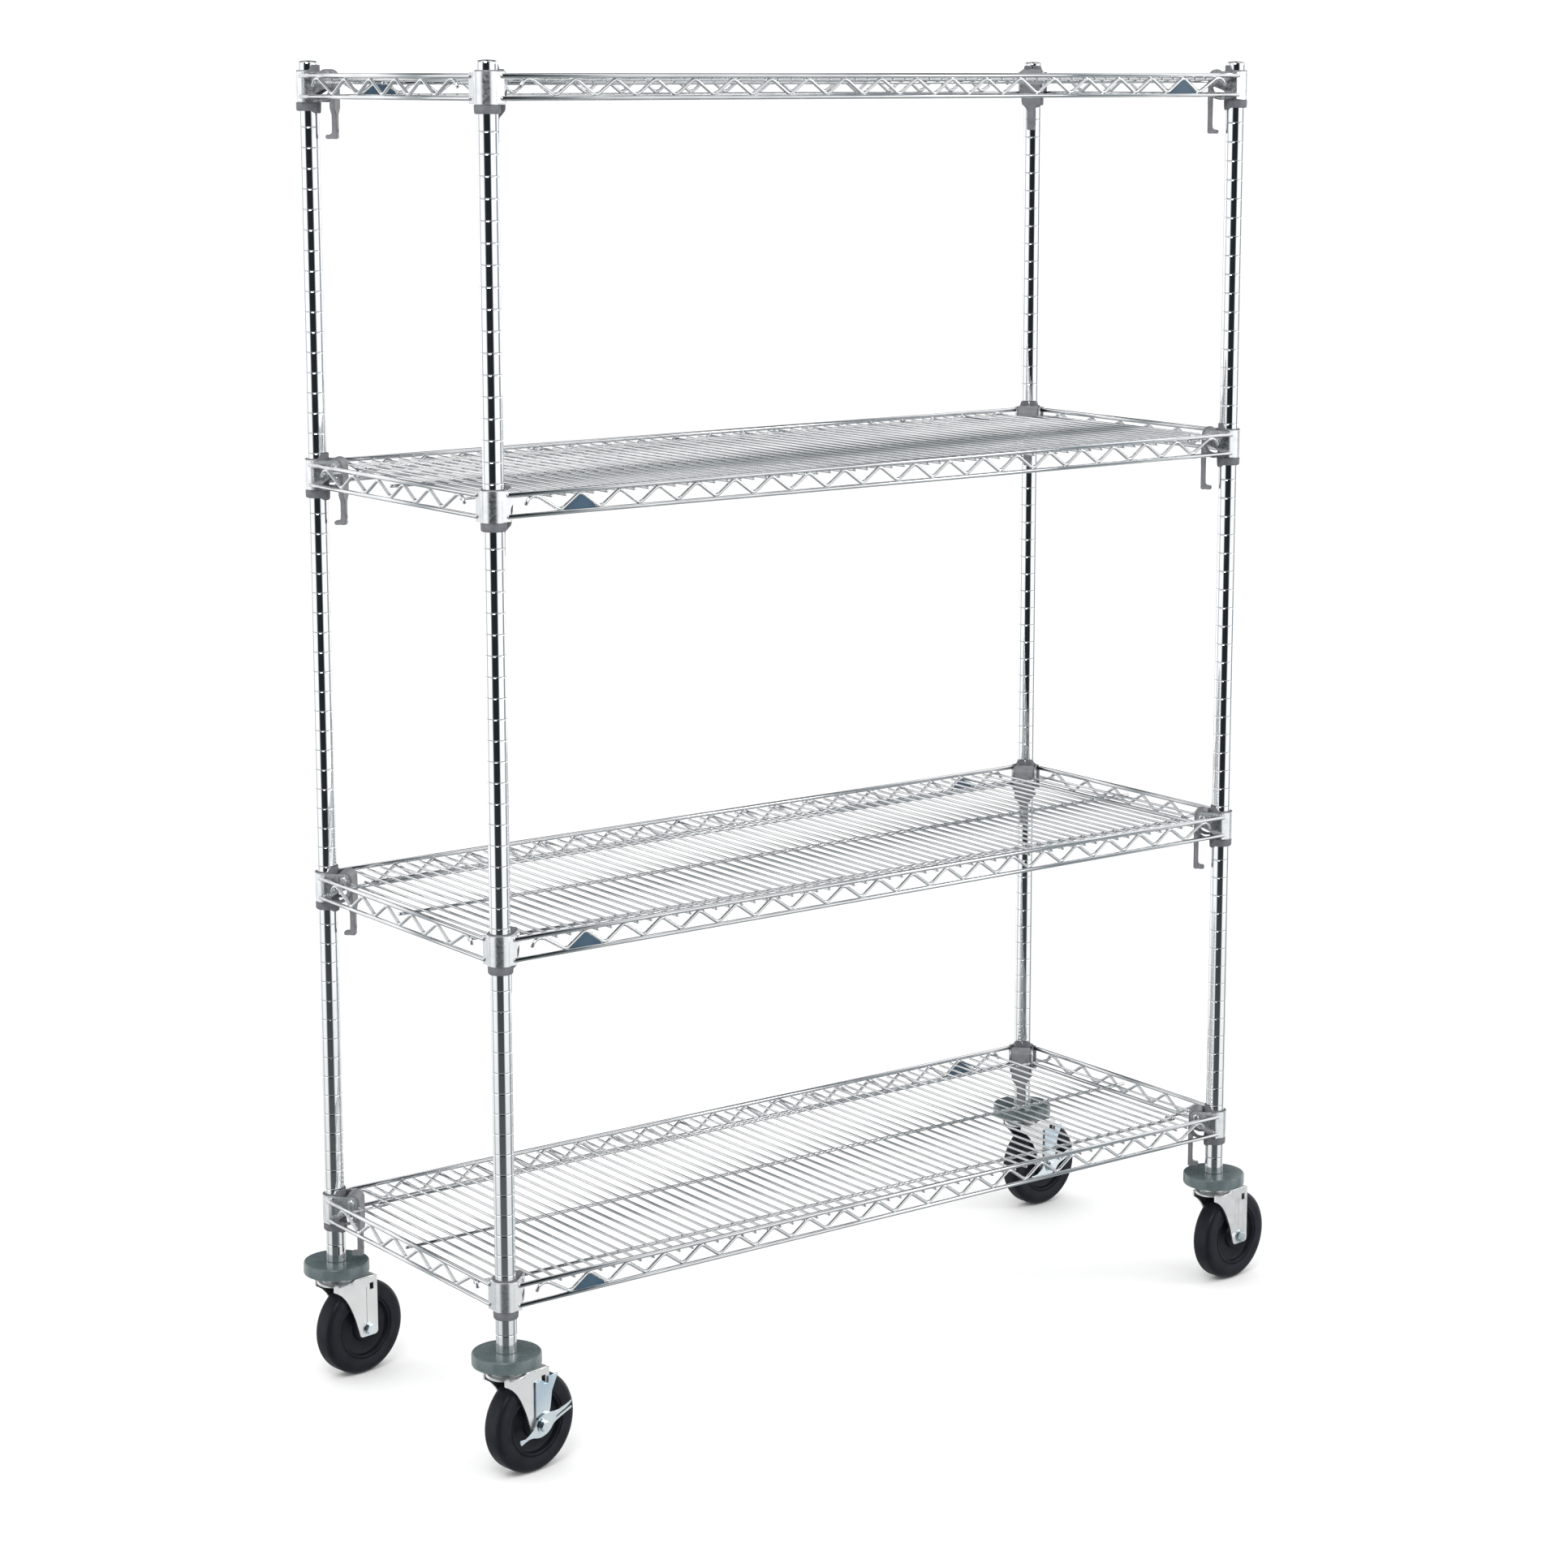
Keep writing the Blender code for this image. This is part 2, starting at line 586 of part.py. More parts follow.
def build_caster(corner, meshes, materials):
    """Stem and bumper are fixed to the post. The fork swivels, and wheel and brake turn on its axle."""
    place = post_place(corner)
    add_object(f"bumper_{corner}", meshes["bumper"], materials["bumper"], place)
    add_object(f"caster_stem_{corner}", meshes["stem"], materials["zinc"], place)
    turn = math.radians(SWIVEL_ANGLES[corner])
    braked = corner in BRAKED
    fork_kind = "braked_fork" if braked else "fork"
    fork = add_object(f"fork_{corner}", meshes[fork_kind], materials["zinc"], place, turn)
    axle = (TRAIL, 0, WHEEL_RADIUS)
    add_object(f"wheel_{corner}", meshes["wheel"], materials["rubber"], axle, 0, fork)
    if braked:
        add_object(f"brake_plate_{corner}", meshes["plate"], materials["blue_zinc"], axle, 0, fork)
        add_object(f"brake_lever_{corner}", meshes["brake"], materials["blue_zinc"], axle, 0, fork)


def main():
    clear_scene()
    materials = {
        "chrome": finish_material("chrome", (0.80, 0.81, 0.82), 0.12, 1.0),
        "zinc": finish_material("zinc", (0.72, 0.73, 0.74), 0.30, 1.0),
        "blue_zinc": finish_material("blue_zinc", (0.60, 0.68, 0.74), 0.28, 1.0),
        "sleeve": finish_material("grey_sleeve", (0.16, 0.17, 0.19), 0.45, 0.0),
        "lever": finish_material("grey_lever", (0.23, 0.24, 0.26), 0.40, 0.0),
        "bumper": finish_material("grey_bumper", (0.17, 0.21, 0.23), 0.25, 0.0),
        "rubber": finish_material("black_rubber", (0.025, 0.027, 0.035), 0.50, 0.0),
    }
    brake_stack = BRAKE_PLATE + BRAKE_ROCKER + 3 * GAP
    meshes = {
        "shelf": shelf_mesh(),
        "sleeve": sleeve_mesh(),
        "lever": lever_mesh(),
        "bumper": bumper_mesh(),
        "stem": stem_mesh(),
        "fork": fork_mesh(LEG_OUTER),
        "braked_fork": fork_mesh(LEG_OUTER + brake_stack),
        "wheel": wheel_mesh(),
        "plate": brake_plate_mesh(),
        "brake": brake_lever_mesh(),
    }
    build_posts(materials["chrome"])
    for level in COLLAR_BASES:
        build_shelf(level, meshes, materials["chrome"], materials["sleeve"], materials["lever"])
    for corner in CORNERS:
        build_caster(corner, meshes, materials)


main()
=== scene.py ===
"""Looks of the mobile wire shelving rack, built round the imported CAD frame."""

import json
import math

import bmesh
import bpy
from mathutils import Matrix, Vector


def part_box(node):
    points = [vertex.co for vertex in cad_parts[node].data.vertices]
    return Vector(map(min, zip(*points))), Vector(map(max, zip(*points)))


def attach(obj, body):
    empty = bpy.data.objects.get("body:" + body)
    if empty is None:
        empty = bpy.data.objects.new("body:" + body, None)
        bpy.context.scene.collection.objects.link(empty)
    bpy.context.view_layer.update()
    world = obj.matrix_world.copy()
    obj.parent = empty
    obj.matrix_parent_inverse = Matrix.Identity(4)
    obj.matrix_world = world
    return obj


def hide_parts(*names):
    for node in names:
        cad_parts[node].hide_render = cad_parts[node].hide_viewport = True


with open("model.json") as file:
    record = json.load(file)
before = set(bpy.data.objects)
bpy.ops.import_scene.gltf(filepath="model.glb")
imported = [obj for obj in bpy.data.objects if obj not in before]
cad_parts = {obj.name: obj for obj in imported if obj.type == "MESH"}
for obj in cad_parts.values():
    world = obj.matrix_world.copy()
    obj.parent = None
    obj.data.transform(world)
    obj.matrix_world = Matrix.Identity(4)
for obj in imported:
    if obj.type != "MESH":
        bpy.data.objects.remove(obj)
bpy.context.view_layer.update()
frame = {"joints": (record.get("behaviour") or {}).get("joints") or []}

MM = 0.001
LEVELS = ("bottom", "lower", "upper", "top")
CORNERS = {"fl": (-1, -1), "fr": (1, -1), "rl": (-1, 1), "rr": (1, 1)}
BRAKED = ("fl", "rr")
LEVEL_BODY = {"bottom": "root", "lower": "shelf_lower", "upper": "shelf_upper", "top": "root"}
JOINTS = {joint["name"]: joint for joint in frame["joints"]}

# Places read from the frame, in metres
SHELF_LOW, SHELF_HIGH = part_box("shelf_bottom")
POST_AXIS = {}
for corner in CORNERS:
    low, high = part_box(f"post_{corner}")
    POST_AXIS[corner] = (low + high) / 2
POST_RADIUS = (high.x - low.x) / 2
POST_FOOT, POST_TOP = low.z, high.z
MIDDLE = (SHELF_LOW + SHELF_HIGH) / 2
HALF_X = (POST_AXIS["fr"].x - POST_AXIS["fl"].x) / 2
HALF_Y = (POST_AXIS["rl"].y - POST_AXIS["fl"].y) / 2
EDGE = (SHELF_HIGH.x - SHELF_LOW.x) / 2 - HALF_X
COLLAR_HEIGHT = SHELF_HIGH.z - SHELF_LOW.z
BASES = {level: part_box(f"shelf_{level}")[0].z for level in LEVELS}

# Frame of a shelf: wire radii, heights above the shelf's base, and places
TOP_RAIL = 3.0 * MM
LOW_RAIL = 2.75 * MM
TOP_RAIL_Z = 32.5 * MM
LOW_RAIL_Z = 7.1 * MM
RAIL_LINE = EDGE - TOP_RAIL  # from the posts' axes out to the rails
RAIL_START = 9.5 * MM  # from a post's axis to the end of a rail
ZIGZAG = 2.25 * MM
ZIGZAG_INSET = 0.6 * MM  # from the rails' line in to the zigzag
ZIGZAG_BEND = 6 * MM
LONG_PITCH = 56.4 * MM
LONG_PEAKS = 20
SHORT_PITCH = 60.2 * MM
SHORT_PEAKS = 6
CURL_START = 5 * MM  # past the outermost peak
CURL = ((10 * MM, 2 * MM), (15 * MM, 10 * MM))  # corners of the curl: out from its start, and down
WELD = 0.9  # share of a wire's radius at which another wire is welded to it

# Deck of a shelf
DECK_WIRE = 1.7 * MM
DECK_PITCH = 19.66 * MM
DECK_Z = TOP_RAIL_Z - TOP_RAIL - DECK_WIRE
DECK_OVERHANG = 1.2 * MM  # of the deck wires past the rails' line
RIB = 2.2 * MM
SUPPORT_START = 46 * MM  # from a post's axis, along the shelf
SUPPORT_INSET = 35 * MM  # from a post's axis, across the shelf
SHORT_WIRE_START = 45.0 * MM
CORNER_WIRE_INSET = 2 * MM  # from the ends of the short wires in to the wire that holds them
CORNER_WIRE_END = 52 * MM  # from a post's axis

# Collars and the pins of the levers
COLLAR_OUTER = 16.3 * MM
COLLAR_WALL = 1.3 * MM
COLLAR_INNER = COLLAR_OUTER - COLLAR_WALL
COLLAR_OPEN = 4 * MM  # how far past the post's axis the shell reaches
WING_LENGTH = 34.0 * MM
LEVER_PIN = 26.0 * MM  # from the post's axis
LEVER_PIN_Z = 30.0 * MM

STANDING = Matrix.Rotation(math.radians(90), 4, "X")  # turns a shape drawn in XY upright


# ---------------------------------------------------------------- materials


NOISE_LOW, NOISE_HIGH = 0.3, 0.7  # nearly all values of a noise texture lie between these
METAL_DRIFT = 0.25  # scale of the colour drift, as a share of the grain's
PLASTIC_DRIFT = 0.1
METAL_BUMP = 0.25  # strength of the grain's bump
PLASTIC_BUMP = 0.3
COAT_ROUGHNESS = 0.12


def new_material(name, colour, roughness, metallic):
    """A material with a plain shader, its node tree and its shader."""
    material = bpy.data.materials.new(name)
    material.use_nodes = True
    tree = material.node_tree
    shader = tree.nodes["Principled BSDF"]
    shader.inputs["Base Color"].default_value = (*colour, 1.0)
    shader.inputs["Roughness"].default_value = roughness
    shader.inputs["Metallic"].default_value = metallic
    return material, tree, shader


def noise(tree, scale, detail):
    """A noise texture in the piece's own coordinates, in metres."""
    place = tree.nodes.new("ShaderNodeTexCoord")
    texture = tree.nodes.new("ShaderNodeTexNoise")
    texture.inputs["Scale"].default_value = scale
    texture.inputs["Detail"].default_value = detail
    tree.links.new(place.outputs["Object"], texture.inputs["Vector"])
    return texture.outputs["Fac"]


def ramp(tree, value, stops):
    """A colour ramp over a value. Stops are (position, colour)."""
    node = tree.nodes.new("ShaderNodeValToRGB")
    tree.links.new(value, node.inputs["Fac"])
    elements = node.color_ramp.elements
    while len(elements) < len(stops):
        elements.new(0.5)
    for element, (position, colour) in zip(elements, stops):
        element.position = position
        element.color = (*colour, 1.0)
    return node.outputs["Color"]


def roughness_range(tree, shader, value, low, high):
    """Roughness that runs from low to high with the noise in value."""
    node = tree.nodes.new("ShaderNodeMapRange")
    tree.links.new(value, node.inputs["Value"])
    node.inputs["From Min"].default_value = NOISE_LOW
    node.inputs["From Max"].default_value = NOISE_HIGH
    node.inputs["To Min"].default_value = low
    node.inputs["To Max"].default_value = high
    tree.links.new(node.outputs["Result"], shader.inputs["Roughness"])


def bump(tree, shader, value, strength, distance):
    """A bump of the surface that follows the noise in value. The distance is in metres."""
    node = tree.nodes.new("ShaderNodeBump")
    node.inputs["Strength"].default_value = strength
    node.inputs["Distance"].default_value = distance
    tree.links.new(value, node.inputs["Height"])
    tree.links.new(node.outputs["Normal"], shader.inputs["Normal"])


def add_surface(tree, shader, drift, grain, dark, light, rough):
    """Colour that drifts from dark to light, and a roughness that follows the grain."""
    tree.links.new(ramp(tree, drift, ((NOISE_LOW, dark), (NOISE_HIGH, light))), shader.inputs["Base Color"])
    roughness_range(tree, shader, grain, *rough)


def metal(name, dark, light, rough, scale, bump_depth):
    """A plated metal: slight colour drift, uneven gloss and a very shallow ripple."""
    material, tree, shader = new_material(name, light, rough[0], 1.0)
    drift = noise(tree, scale * METAL_DRIFT, 4.0)
    grain = noise(tree, scale, 3.0)
    add_surface(tree, shader, drift, grain, dark, light, rough)
    bump(tree, shader, grain, METAL_BUMP, bump_depth)
    return material


def plastic(name, dark, light, rough, scale, bump_depth, coat=0.0, specular=0.5):
    """A moulded plastic or rubber with a fine grain."""
    material, tree, shader = new_material(name, light, rough[0], 0.0)
    drift = noise(tree, scale * PLASTIC_DRIFT, 4.0)
    grain = noise(tree, scale, 5.0)
    add_surface(tree, shader, drift, grain, dark, light, rough)
    bump(tree, shader, grain, PLASTIC_BUMP, bump_depth)
    shader.inputs["Specular IOR Level"].default_value = specular
    if coat:
        shader.inputs["Coat Weight"].default_value = coat
        shader.inputs["Coat Roughness"].default_value = COAT_ROUGHNESS
    return material


# Each has a name, a dark and a light colour, a range of roughness, the scale of its grain's noise per
# metre, and the depth of the grain in metres
MATERIALS = {
    "chrome": metal("chrome", (0.82, 0.83, 0.85), (0.92, 0.93, 0.94), (0.03, 0.08), 60, 0.00001),
    "wire": metal("wire_chrome", (0.70, 0.71, 0.73), (0.84, 0.85, 0.86), (0.05, 0.11), 90, 0.00002),
    "collar": metal("collar_chrome", (0.78, 0.80, 0.82), (0.92, 0.93, 0.94), (0.22, 0.36), 260, 0.00010),
    "zinc": metal("zinc", (0.90, 0.90, 0.90), (1.0, 1.0, 1.0), (0.30, 0.48), 120, 0.00005),
    "blue_zinc": metal("blue_zinc", (0.50, 0.64, 0.76), (0.90, 0.96, 0.98), (0.12, 0.26), 70, 0.00005),
    "sleeve": plastic("grey_sleeve", (0.09, 0.095, 0.11), (0.14, 0.145, 0.16), (0.38, 0.55), 900, 0.00004),
    "lever": plastic("grey_lever", (0.14, 0.145, 0.155), (0.20, 0.205, 0.215), (0.36, 0.50), 900, 0.00004),
    "bumper": plastic(
        "grey_bumper", (0.055, 0.08, 0.085), (0.10, 0.13, 0.135), (0.22, 0.38), 420, 0.00004, coat=0.35
    ),
    "rubber": plastic(
        "black_rubber", (0.004, 0.005, 0.009), (0.010, 0.0112, 0.018), (0.32, 0.48), 500, 0.00008,
        specular=0.24,
    ),
    "label": plastic("blue_label", (0.015, 0.045, 0.08), (0.028, 0.068, 0.11), (0.30, 0.42), 400, 0.00003),
}


# ---------------------------------------------------------------- mesh tools


MOST_BEND = 0.45  # share of a straight stretch that one bend may take
BEVELLED_ANGLE = 0.6  # edges sharper than this, in radians, are rounded


def in_mm(points):
    """Points given in millimetres, in metres."""
    return [(x * MM, y * MM) for x, y in points]


def mirrored(outline):
    """One half of an outline, with the other half mirrored in its X axis."""
    return outline + [(x, -y) for x, y in outline[::-1]]


def frames_along(path):
    """(point, side, up) for each point of a path, turned as little as possible from one to the next."""
    tangents = []
    for index in range(len(path)):
        before = path[max(index - 1, 0)]
        after = path[min(index + 1, len(path) - 1)]
        tangents.append((after - before).normalized())
    side = tangents[0].orthogonal().normalized()
    found = []
    for point, tangent in zip(path, tangents):
        side = (side - tangent * side.dot(tangent)).normalized()
        found.append((point, side, tangent.cross(side)))
    return found


def add_tube(shape, path, radius, sides, rounding=0.35):
    """A round wire along a path, its ends slightly rounded over."""
    path = [Vector(point) for point in path]
    start = (path[0] - path[1]).normalized() * radius * rounding
    end = (path[-1] - path[-2]).normalized() * radius * rounding
    stations = [(path[0] + start, 1 - rounding)]
    stations += [(point, 1.0) for point in path]
    stations += [(path[-1] + end, 1 - rounding)]
    rings = []
    for (point, side, up), (_, share) in zip(frames_along([s[0] for s in stations]), stations):
        ring = []
        for step in range(sides):
            angle = 2 * math.pi * step / sides
            offset = (side * math.cos(angle) + up * math.sin(angle)) * radius * share
            ring.append(shape.verts.new(point + offset))
        rings.append(ring)
    for first, second in zip(rings, rings[1:]):
        for step in range(sides):
            after = (step + 1) % sides
            shape.faces.new((first[step], first[after], second[after], second[step]))
    shape.faces.new(rings[0][::-1])
    shape.faces.new(rings[-1])


def rounded(corners, radius, steps=4):
    """A path through corners, each corner replaced by a short smooth bend."""
    corners = [Vector(point) for point in corners]
    path = [corners[0]]
    for before, corner, after in zip(corners, corners[1:], corners[2:]):
        shortest = min((corner - before).length, (after - corner).length)
        reach = min(radius, shortest * MOST_BEND)
        start = corner + (before - corner).normalized() * reach
        end = corner + (after - corner).normalized() * reach
        for step in range(steps + 1):
            share = step / steps
            first = start.lerp(corner, share)
            second = corner.lerp(end, share)
            path.append(first.lerp(second, share))
    path.append(corners[-1])
    return path


def add_turned(shape, profile, segments, matrix=Matrix.Identity(4)):
    """A closed profile of (radius, height) points turned about Z."""
    rings = []
    for radius, height in profile:
        count = 1 if radius == 0 else segments
        ring = []
        for step in range(count):
            angle = 2 * math.pi * step / segments
            point = Vector((radius * math.cos(angle), radius * math.sin(angle), height))
            ring.append(shape.verts.new(matrix @ point))
        rings.append(ring)
    for first, second in zip(rings, rings[1:] + rings[:1]):
        for step in range(segments):
            after = (step + 1) % segments
            corners = [first[step % len(first)], first[after % len(first)]]
            corners += [second[after % len(second)], second[step % len(second)]]
            face = list(dict.fromkeys(corners))
            if len(face) > 2:
                shape.faces.new(face)


def add_prism(shape, outline, low, high, matrix=Matrix.Identity(4), bevel=0.0, steps=2):
    """A flat outline in XY, extruded from low to high, with its edges rounded."""
    made = bmesh.new()
    verts = [made.verts.new((x, y, low)) for x, y in outline]
    face = made.faces.new(verts)
    lifted = bmesh.ops.extrude_face_region(made, geom=[face])
    moved = [item for item in lifted["geom"] if isinstance(item, bmesh.types.BMVert)]
    bmesh.ops.translate(made, verts=moved, vec=(0, 0, high - low))
    bmesh.ops.recalc_face_normals(made, faces=made.faces)
    if bevel:
        edges = [edge for edge in made.edges if edge.calc_face_angle(0) > BEVELLED_ANGLE]
        bmesh.ops.bevel(made, geom=edges, offset=bevel, segments=steps, affect="EDGES", clamp_overlap=True)
    bmesh.ops.transform(made, matrix=matrix, verts=made.verts)
    add_bmesh(shape, made)


def add_bmesh(shape, other):
    """Copies another bmesh into shape, and frees it."""
    mesh = bpy.data.meshes.new("part")
    other.to_mesh(mesh)
    other.free()
    shape.from_mesh(mesh)
    bpy.data.meshes.remove(mesh)


def finish_mesh(shape, name, material, sharp):
    """The finished mesh, smooth but for edges sharper than so many degrees. Frees the bmesh."""
    bmesh.ops.recalc_face_normals(shape, faces=shape.faces)
    mesh = bpy.data.meshes.new(name)
    shape.to_mesh(mesh)
    shape.free()
    mesh.materials.append(MATERIALS[material])
    mesh.shade_smooth()
    mesh.set_sharp_from_angle(angle=math.radians(sharp))
    return mesh


def add_piece(name, mesh, body, place=(0, 0, 0), turn=0.0, replaced=()):
    """A visible piece that rides on a body, and the CAD nodes that it stands for."""
    piece = bpy.data.objects.new(name, mesh)
    bpy.context.scene.collection.objects.link(piece)
    piece.location = place
    piece.rotation_euler = (0, 0, turn)
    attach(piece, body)
    if replaced:
        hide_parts(*replaced)


def arc(centre, radius, start, end, steps):
    """Points of an arc from one angle to another, in degrees."""
    points = []
    for step in range(steps + 1):
        angle = math.radians(start + (end - start) * step / steps)
        points.append((centre[0] + radius * math.cos(angle), centre[1] + radius * math.sin(angle)))
    return points


def inward_angle(corner):
    """Heading from a corner's post towards the middle of the shelf, at 45 degrees to its sides."""
    across, along = CORNERS[corner]
    return math.atan2(-along, -across)


# ---------------------------------------------------------------- posts


POST_WALL = 1.6 * MM
GROOVE_PITCH = 25.4 * MM
GROOVE_DEPTH = 0.45 * MM
GROOVE_HALF = 0.9 * MM
# A groove's profile: height as a share of its half width, and share of its depth
GROOVE_SHAPE = ((-1.5, 0), (-1, 0), (-0.5, 0.7), (0, 1), (0.5, 0.7), (1, 0), (1.5, 0))
SHELF_ABOVE_GROOVE = 5.0 * MM
CAP_HEIGHT = 5.0 * MM
CAP_SKIRT = 14 * MM  # from the cap's top down to the end of its skirt
CAP_SKIRT_RADIUS = POST_RADIUS - 1.9 * MM
CAP_RIM_TOP = 2.6 * MM  # these heights are below the cap's top
CAP_SHOULDER = 1.9 * MM
CAP_DOME = 1.8 * MM
CAP_DOME_RADIUS = POST_RADIUS - 0.8 * MM
CAP_LIFT = 0.2 * MM  # of the rim off the tube's end


def post_mesh():
    """A tube with a rounded groove at every pitch. The shelves stand at a fixed height above a groove."""
    inner = POST_RADIUS - POST_WALL
    outside = [(POST_RADIUS, POST_FOOT)]
    height = BASES["bottom"] - SHELF_ABOVE_GROOVE - GROOVE_PITCH
    while height < POST_TOP - CAP_HEIGHT - 3 * GROOVE_HALF:
        if height > POST_FOOT + 2 * GROOVE_HALF:
            for share, depth in GROOVE_SHAPE:
                outside.append((POST_RADIUS - GROOVE_DEPTH * depth, height + GROOVE_HALF * share))
        height += GROOVE_PITCH
    outside.append((POST_RADIUS, POST_TOP - CAP_HEIGHT))
    profile = outside + [(inner, POST_TOP - CAP_HEIGHT), (inner, POST_FOOT)]
    shape = bmesh.new()
    add_turned(shape, profile, segments=48)
    return finish_mesh(shape, "post_tube", "chrome", sharp=60)


def cap_mesh():
    """A pressed-in cap: a short skirt in the tube, a thin rim on it and a shallow dome."""
    rim_bottom = POST_TOP - CAP_HEIGHT + CAP_LIFT
    profile = [(0, POST_TOP - CAP_SKIRT), (CAP_SKIRT_RADIUS, POST_TOP - CAP_SKIRT)]
    profile += [(CAP_SKIRT_RADIUS, rim_bottom), (POST_RADIUS, rim_bottom)]
    profile += [(POST_RADIUS, POST_TOP - CAP_RIM_TOP), (POST_RADIUS - 0.5 * MM, POST_TOP - CAP_SHOULDER)]
    for step in range(1, 6):
        angle = math.radians(90 * step / 6)
        height = POST_TOP - CAP_DOME * (1 - math.sin(angle))
        profile.append((CAP_DOME_RADIUS * math.cos(angle), height))
    profile.append((0, POST_TOP))
    shape = bmesh.new()
    add_turned(shape, profile, segments=40)
    return finish_mesh(shape, "post_cap", "chrome", sharp=40)


def build_posts():
    """A tube and its end cap at each corner."""
    tube, cap = post_mesh(), cap_mesh()
    for corner, axis in POST_AXIS.items():
        place = (axis.x, axis.y, 0)
        add_piece(f"post_tube_{corner}", tube, "root", place, 0, [f"post_{corner}"])
        add_piece(f"post_end_cap_{corner}", cap, "root", place)


# ---------------------------------------------------------------- shelves


def zigzag_corners(pitch, peaks, low, high):
    """Corners of a frame side's zigzag wire, with a small curl at each end."""
    tops = [(index - (peaks - 1) / 2) * pitch for index in range(peaks)]
    first, last = tops[0] - CURL_START, tops[-1] + CURL_START
    corners = [(first - out, high - down) for out, down in CURL[::-1]]
    corners.append((first, high))
    for top in tops[1:]:
        corners.append((top - pitch / 2, low))
        corners.append((top, high))
    corners[-1] = (last, high)
    corners += [(last + out, high - down) for out, down in CURL]
    return corners


def add_side(shape, half_length, offset, pitch, peaks, turn):
    """One side of the frame: two rails and a zigzag wire, drawn along X and turned about Z."""
    matrix = Matrix.Rotation(turn, 4, "Z")
    reach = half_length - RAIL_START
    for radius, height in ((TOP_RAIL, TOP_RAIL_Z), (LOW_RAIL, LOW_RAIL_Z)):
        path = [matrix @ Vector((x, -offset, height)) for x in (-reach, 0, reach)]
        add_tube(shape, path, radius, sides=16)
    low = LOW_RAIL_Z + LOW_RAIL * WELD
    high = TOP_RAIL_Z - TOP_RAIL * WELD
    corners = zigzag_corners(pitch, peaks, low, high)
    path = [matrix @ Vector((x, -offset + ZIGZAG_INSET, z)) for x, z in corners]
    add_tube(shape, rounded(path, ZIGZAG_BEND), ZIGZAG, sides=10)


def frame_mesh():
    """The two long and two short sides of a shelf's frame."""
    shape = bmesh.new()
    for turn in (0, math.pi):
        add_side(shape, HALF_X, HALF_Y + RAIL_LINE, LONG_PITCH, LONG_PEAKS, turn)
        add_side(shape, HALF_Y, HALF_X + RAIL_LINE, SHORT_PITCH, SHORT_PEAKS, turn + math.pi / 2)
    return finish_mesh(shape, "shelf_frame", "wire", sharp=60)


def deck_mesh():
    """Deck wires from front to back, two of them cut short at each corner, and the ribs under them."""
    shape = bmesh.new()
    count = int(HALF_X / DECK_PITCH)
    for index in range(-count, count):
        x = (index + 0.5) * DECK_PITCH
        reach = HALF_Y + RAIL_LINE + DECK_OVERHANG
        if HALF_X - abs(x) < SHORT_WIRE_START:
            reach = HALF_Y - SHORT_WIRE_START
        add_tube(shape, [(x, -reach, DECK_Z), (x, 0, DECK_Z), (x, reach, DECK_Z)], DECK_WIRE, sides=10)
    rib_z = DECK_Z - DECK_WIRE * WELD - RIB
    edge = HALF_X + RAIL_LINE
    add_tube(shape, [(-edge, 0, rib_z), (0, 0, rib_z), (edge, 0, rib_z)], RIB, sides=12)
    start = HALF_X - SUPPORT_START
    corner_end = HALF_X - CORNER_WIRE_END
    for side in (-1, 1):
        y = side * (HALF_Y - SUPPORT_INSET)
        add_tube(shape, [(-start, y, rib_z), (0, y, rib_z), (start, y, rib_z)], RIB, sides=12)
        y = side * (HALF_Y - SHORT_WIRE_START - CORNER_WIRE_INSET)
        for end in (-1, 1):
            path = [(end * x, y, rib_z) for x in (edge, (edge + corner_end) / 2, corner_end)]
            add_tube(shape, path, DECK_WIRE, sides=10)
    return finish_mesh(shape, "shelf_deck", "wire", sharp=60)


def add_plate(shape, outline, hole, thickness, matrix):
    """A flat plate on XY with one hole that has as many points as the outline."""
    made = bmesh.new()
    rings = []
    for loop, height in ((outline, 0), (hole, 0), (hole, thickness), (outline, thickness)):
        rings.append([made.verts.new((x, y, height)) for x, y in loop])
    count = len(outline)
    for first, second in zip(rings, rings[1:] + rings[:1]):
        for step in range(count):
            after = (step + 1) % count
            made.faces.new((first[step], first[after], second[after], second[step]))
    bmesh.ops.recalc_face_normals(made, faces=made.faces)
    bmesh.ops.transform(made, matrix=matrix, verts=made.verts)
    add_bmesh(shape, made)


def resampled(outline, count):
    """A closed outline as evenly spaced points, starting at its first point."""
    loop = [Vector(point) for point in outline]
    loop.append(loop[0])
    lengths = [0.0]
    for first, second in zip(loop, loop[1:]):
        lengths.append(lengths[-1] + (second - first).length)
    points = []
    index = 0
    for step in range(count):
        wanted = lengths[-1] * step / count
        while lengths[index + 1] < wanted:
            index += 1
        share = (wanted - lengths[index]) / (lengths[index + 1] - lengths[index])
        points.append(tuple(loop[index].lerp(loop[index + 1], share)))
    return points


CURVE_STEPS = 8


def smooth_closed(points, count):
    """Points of a closed Catmull-Rom curve through a few points."""
    total = len(points)
    found = []
    for index in range(total):
        a, b, c, d = (Vector(points[(index + k) % total]) for k in (-1, 0, 1, 2))
        for step in range(CURVE_STEPS):
            t = step / CURVE_STEPS
            point = 0.5 * (2 * b + (c - a) * t + (2 * a - 5 * b + 4 * c - d) * t * t
                           + (3 * b - a - 3 * c + d) * t ** 3)
            found.append(tuple(point))
    return resampled(found, count)


WING_START = 2 * MM
WINDOW = in_mm([(9, 4.5), (20, 4), (28, 9), (30, 17), (22, 15), (13, 10)])
WINDOW_CENTRE = Vector((20 * MM, 11 * MM))
WING_POINTS = 64
PIN_RADIUS = 2.5 * MM
PIN_HEAD = 1.6 * MM  # how far a pin's head stands off the wing
PIN_HEAD_RADIUS = 4.2 * MM
PIN_HEAD_EDGE = 0.4 * MM
PIN_HEAD_FLAT = 2.6 * MM


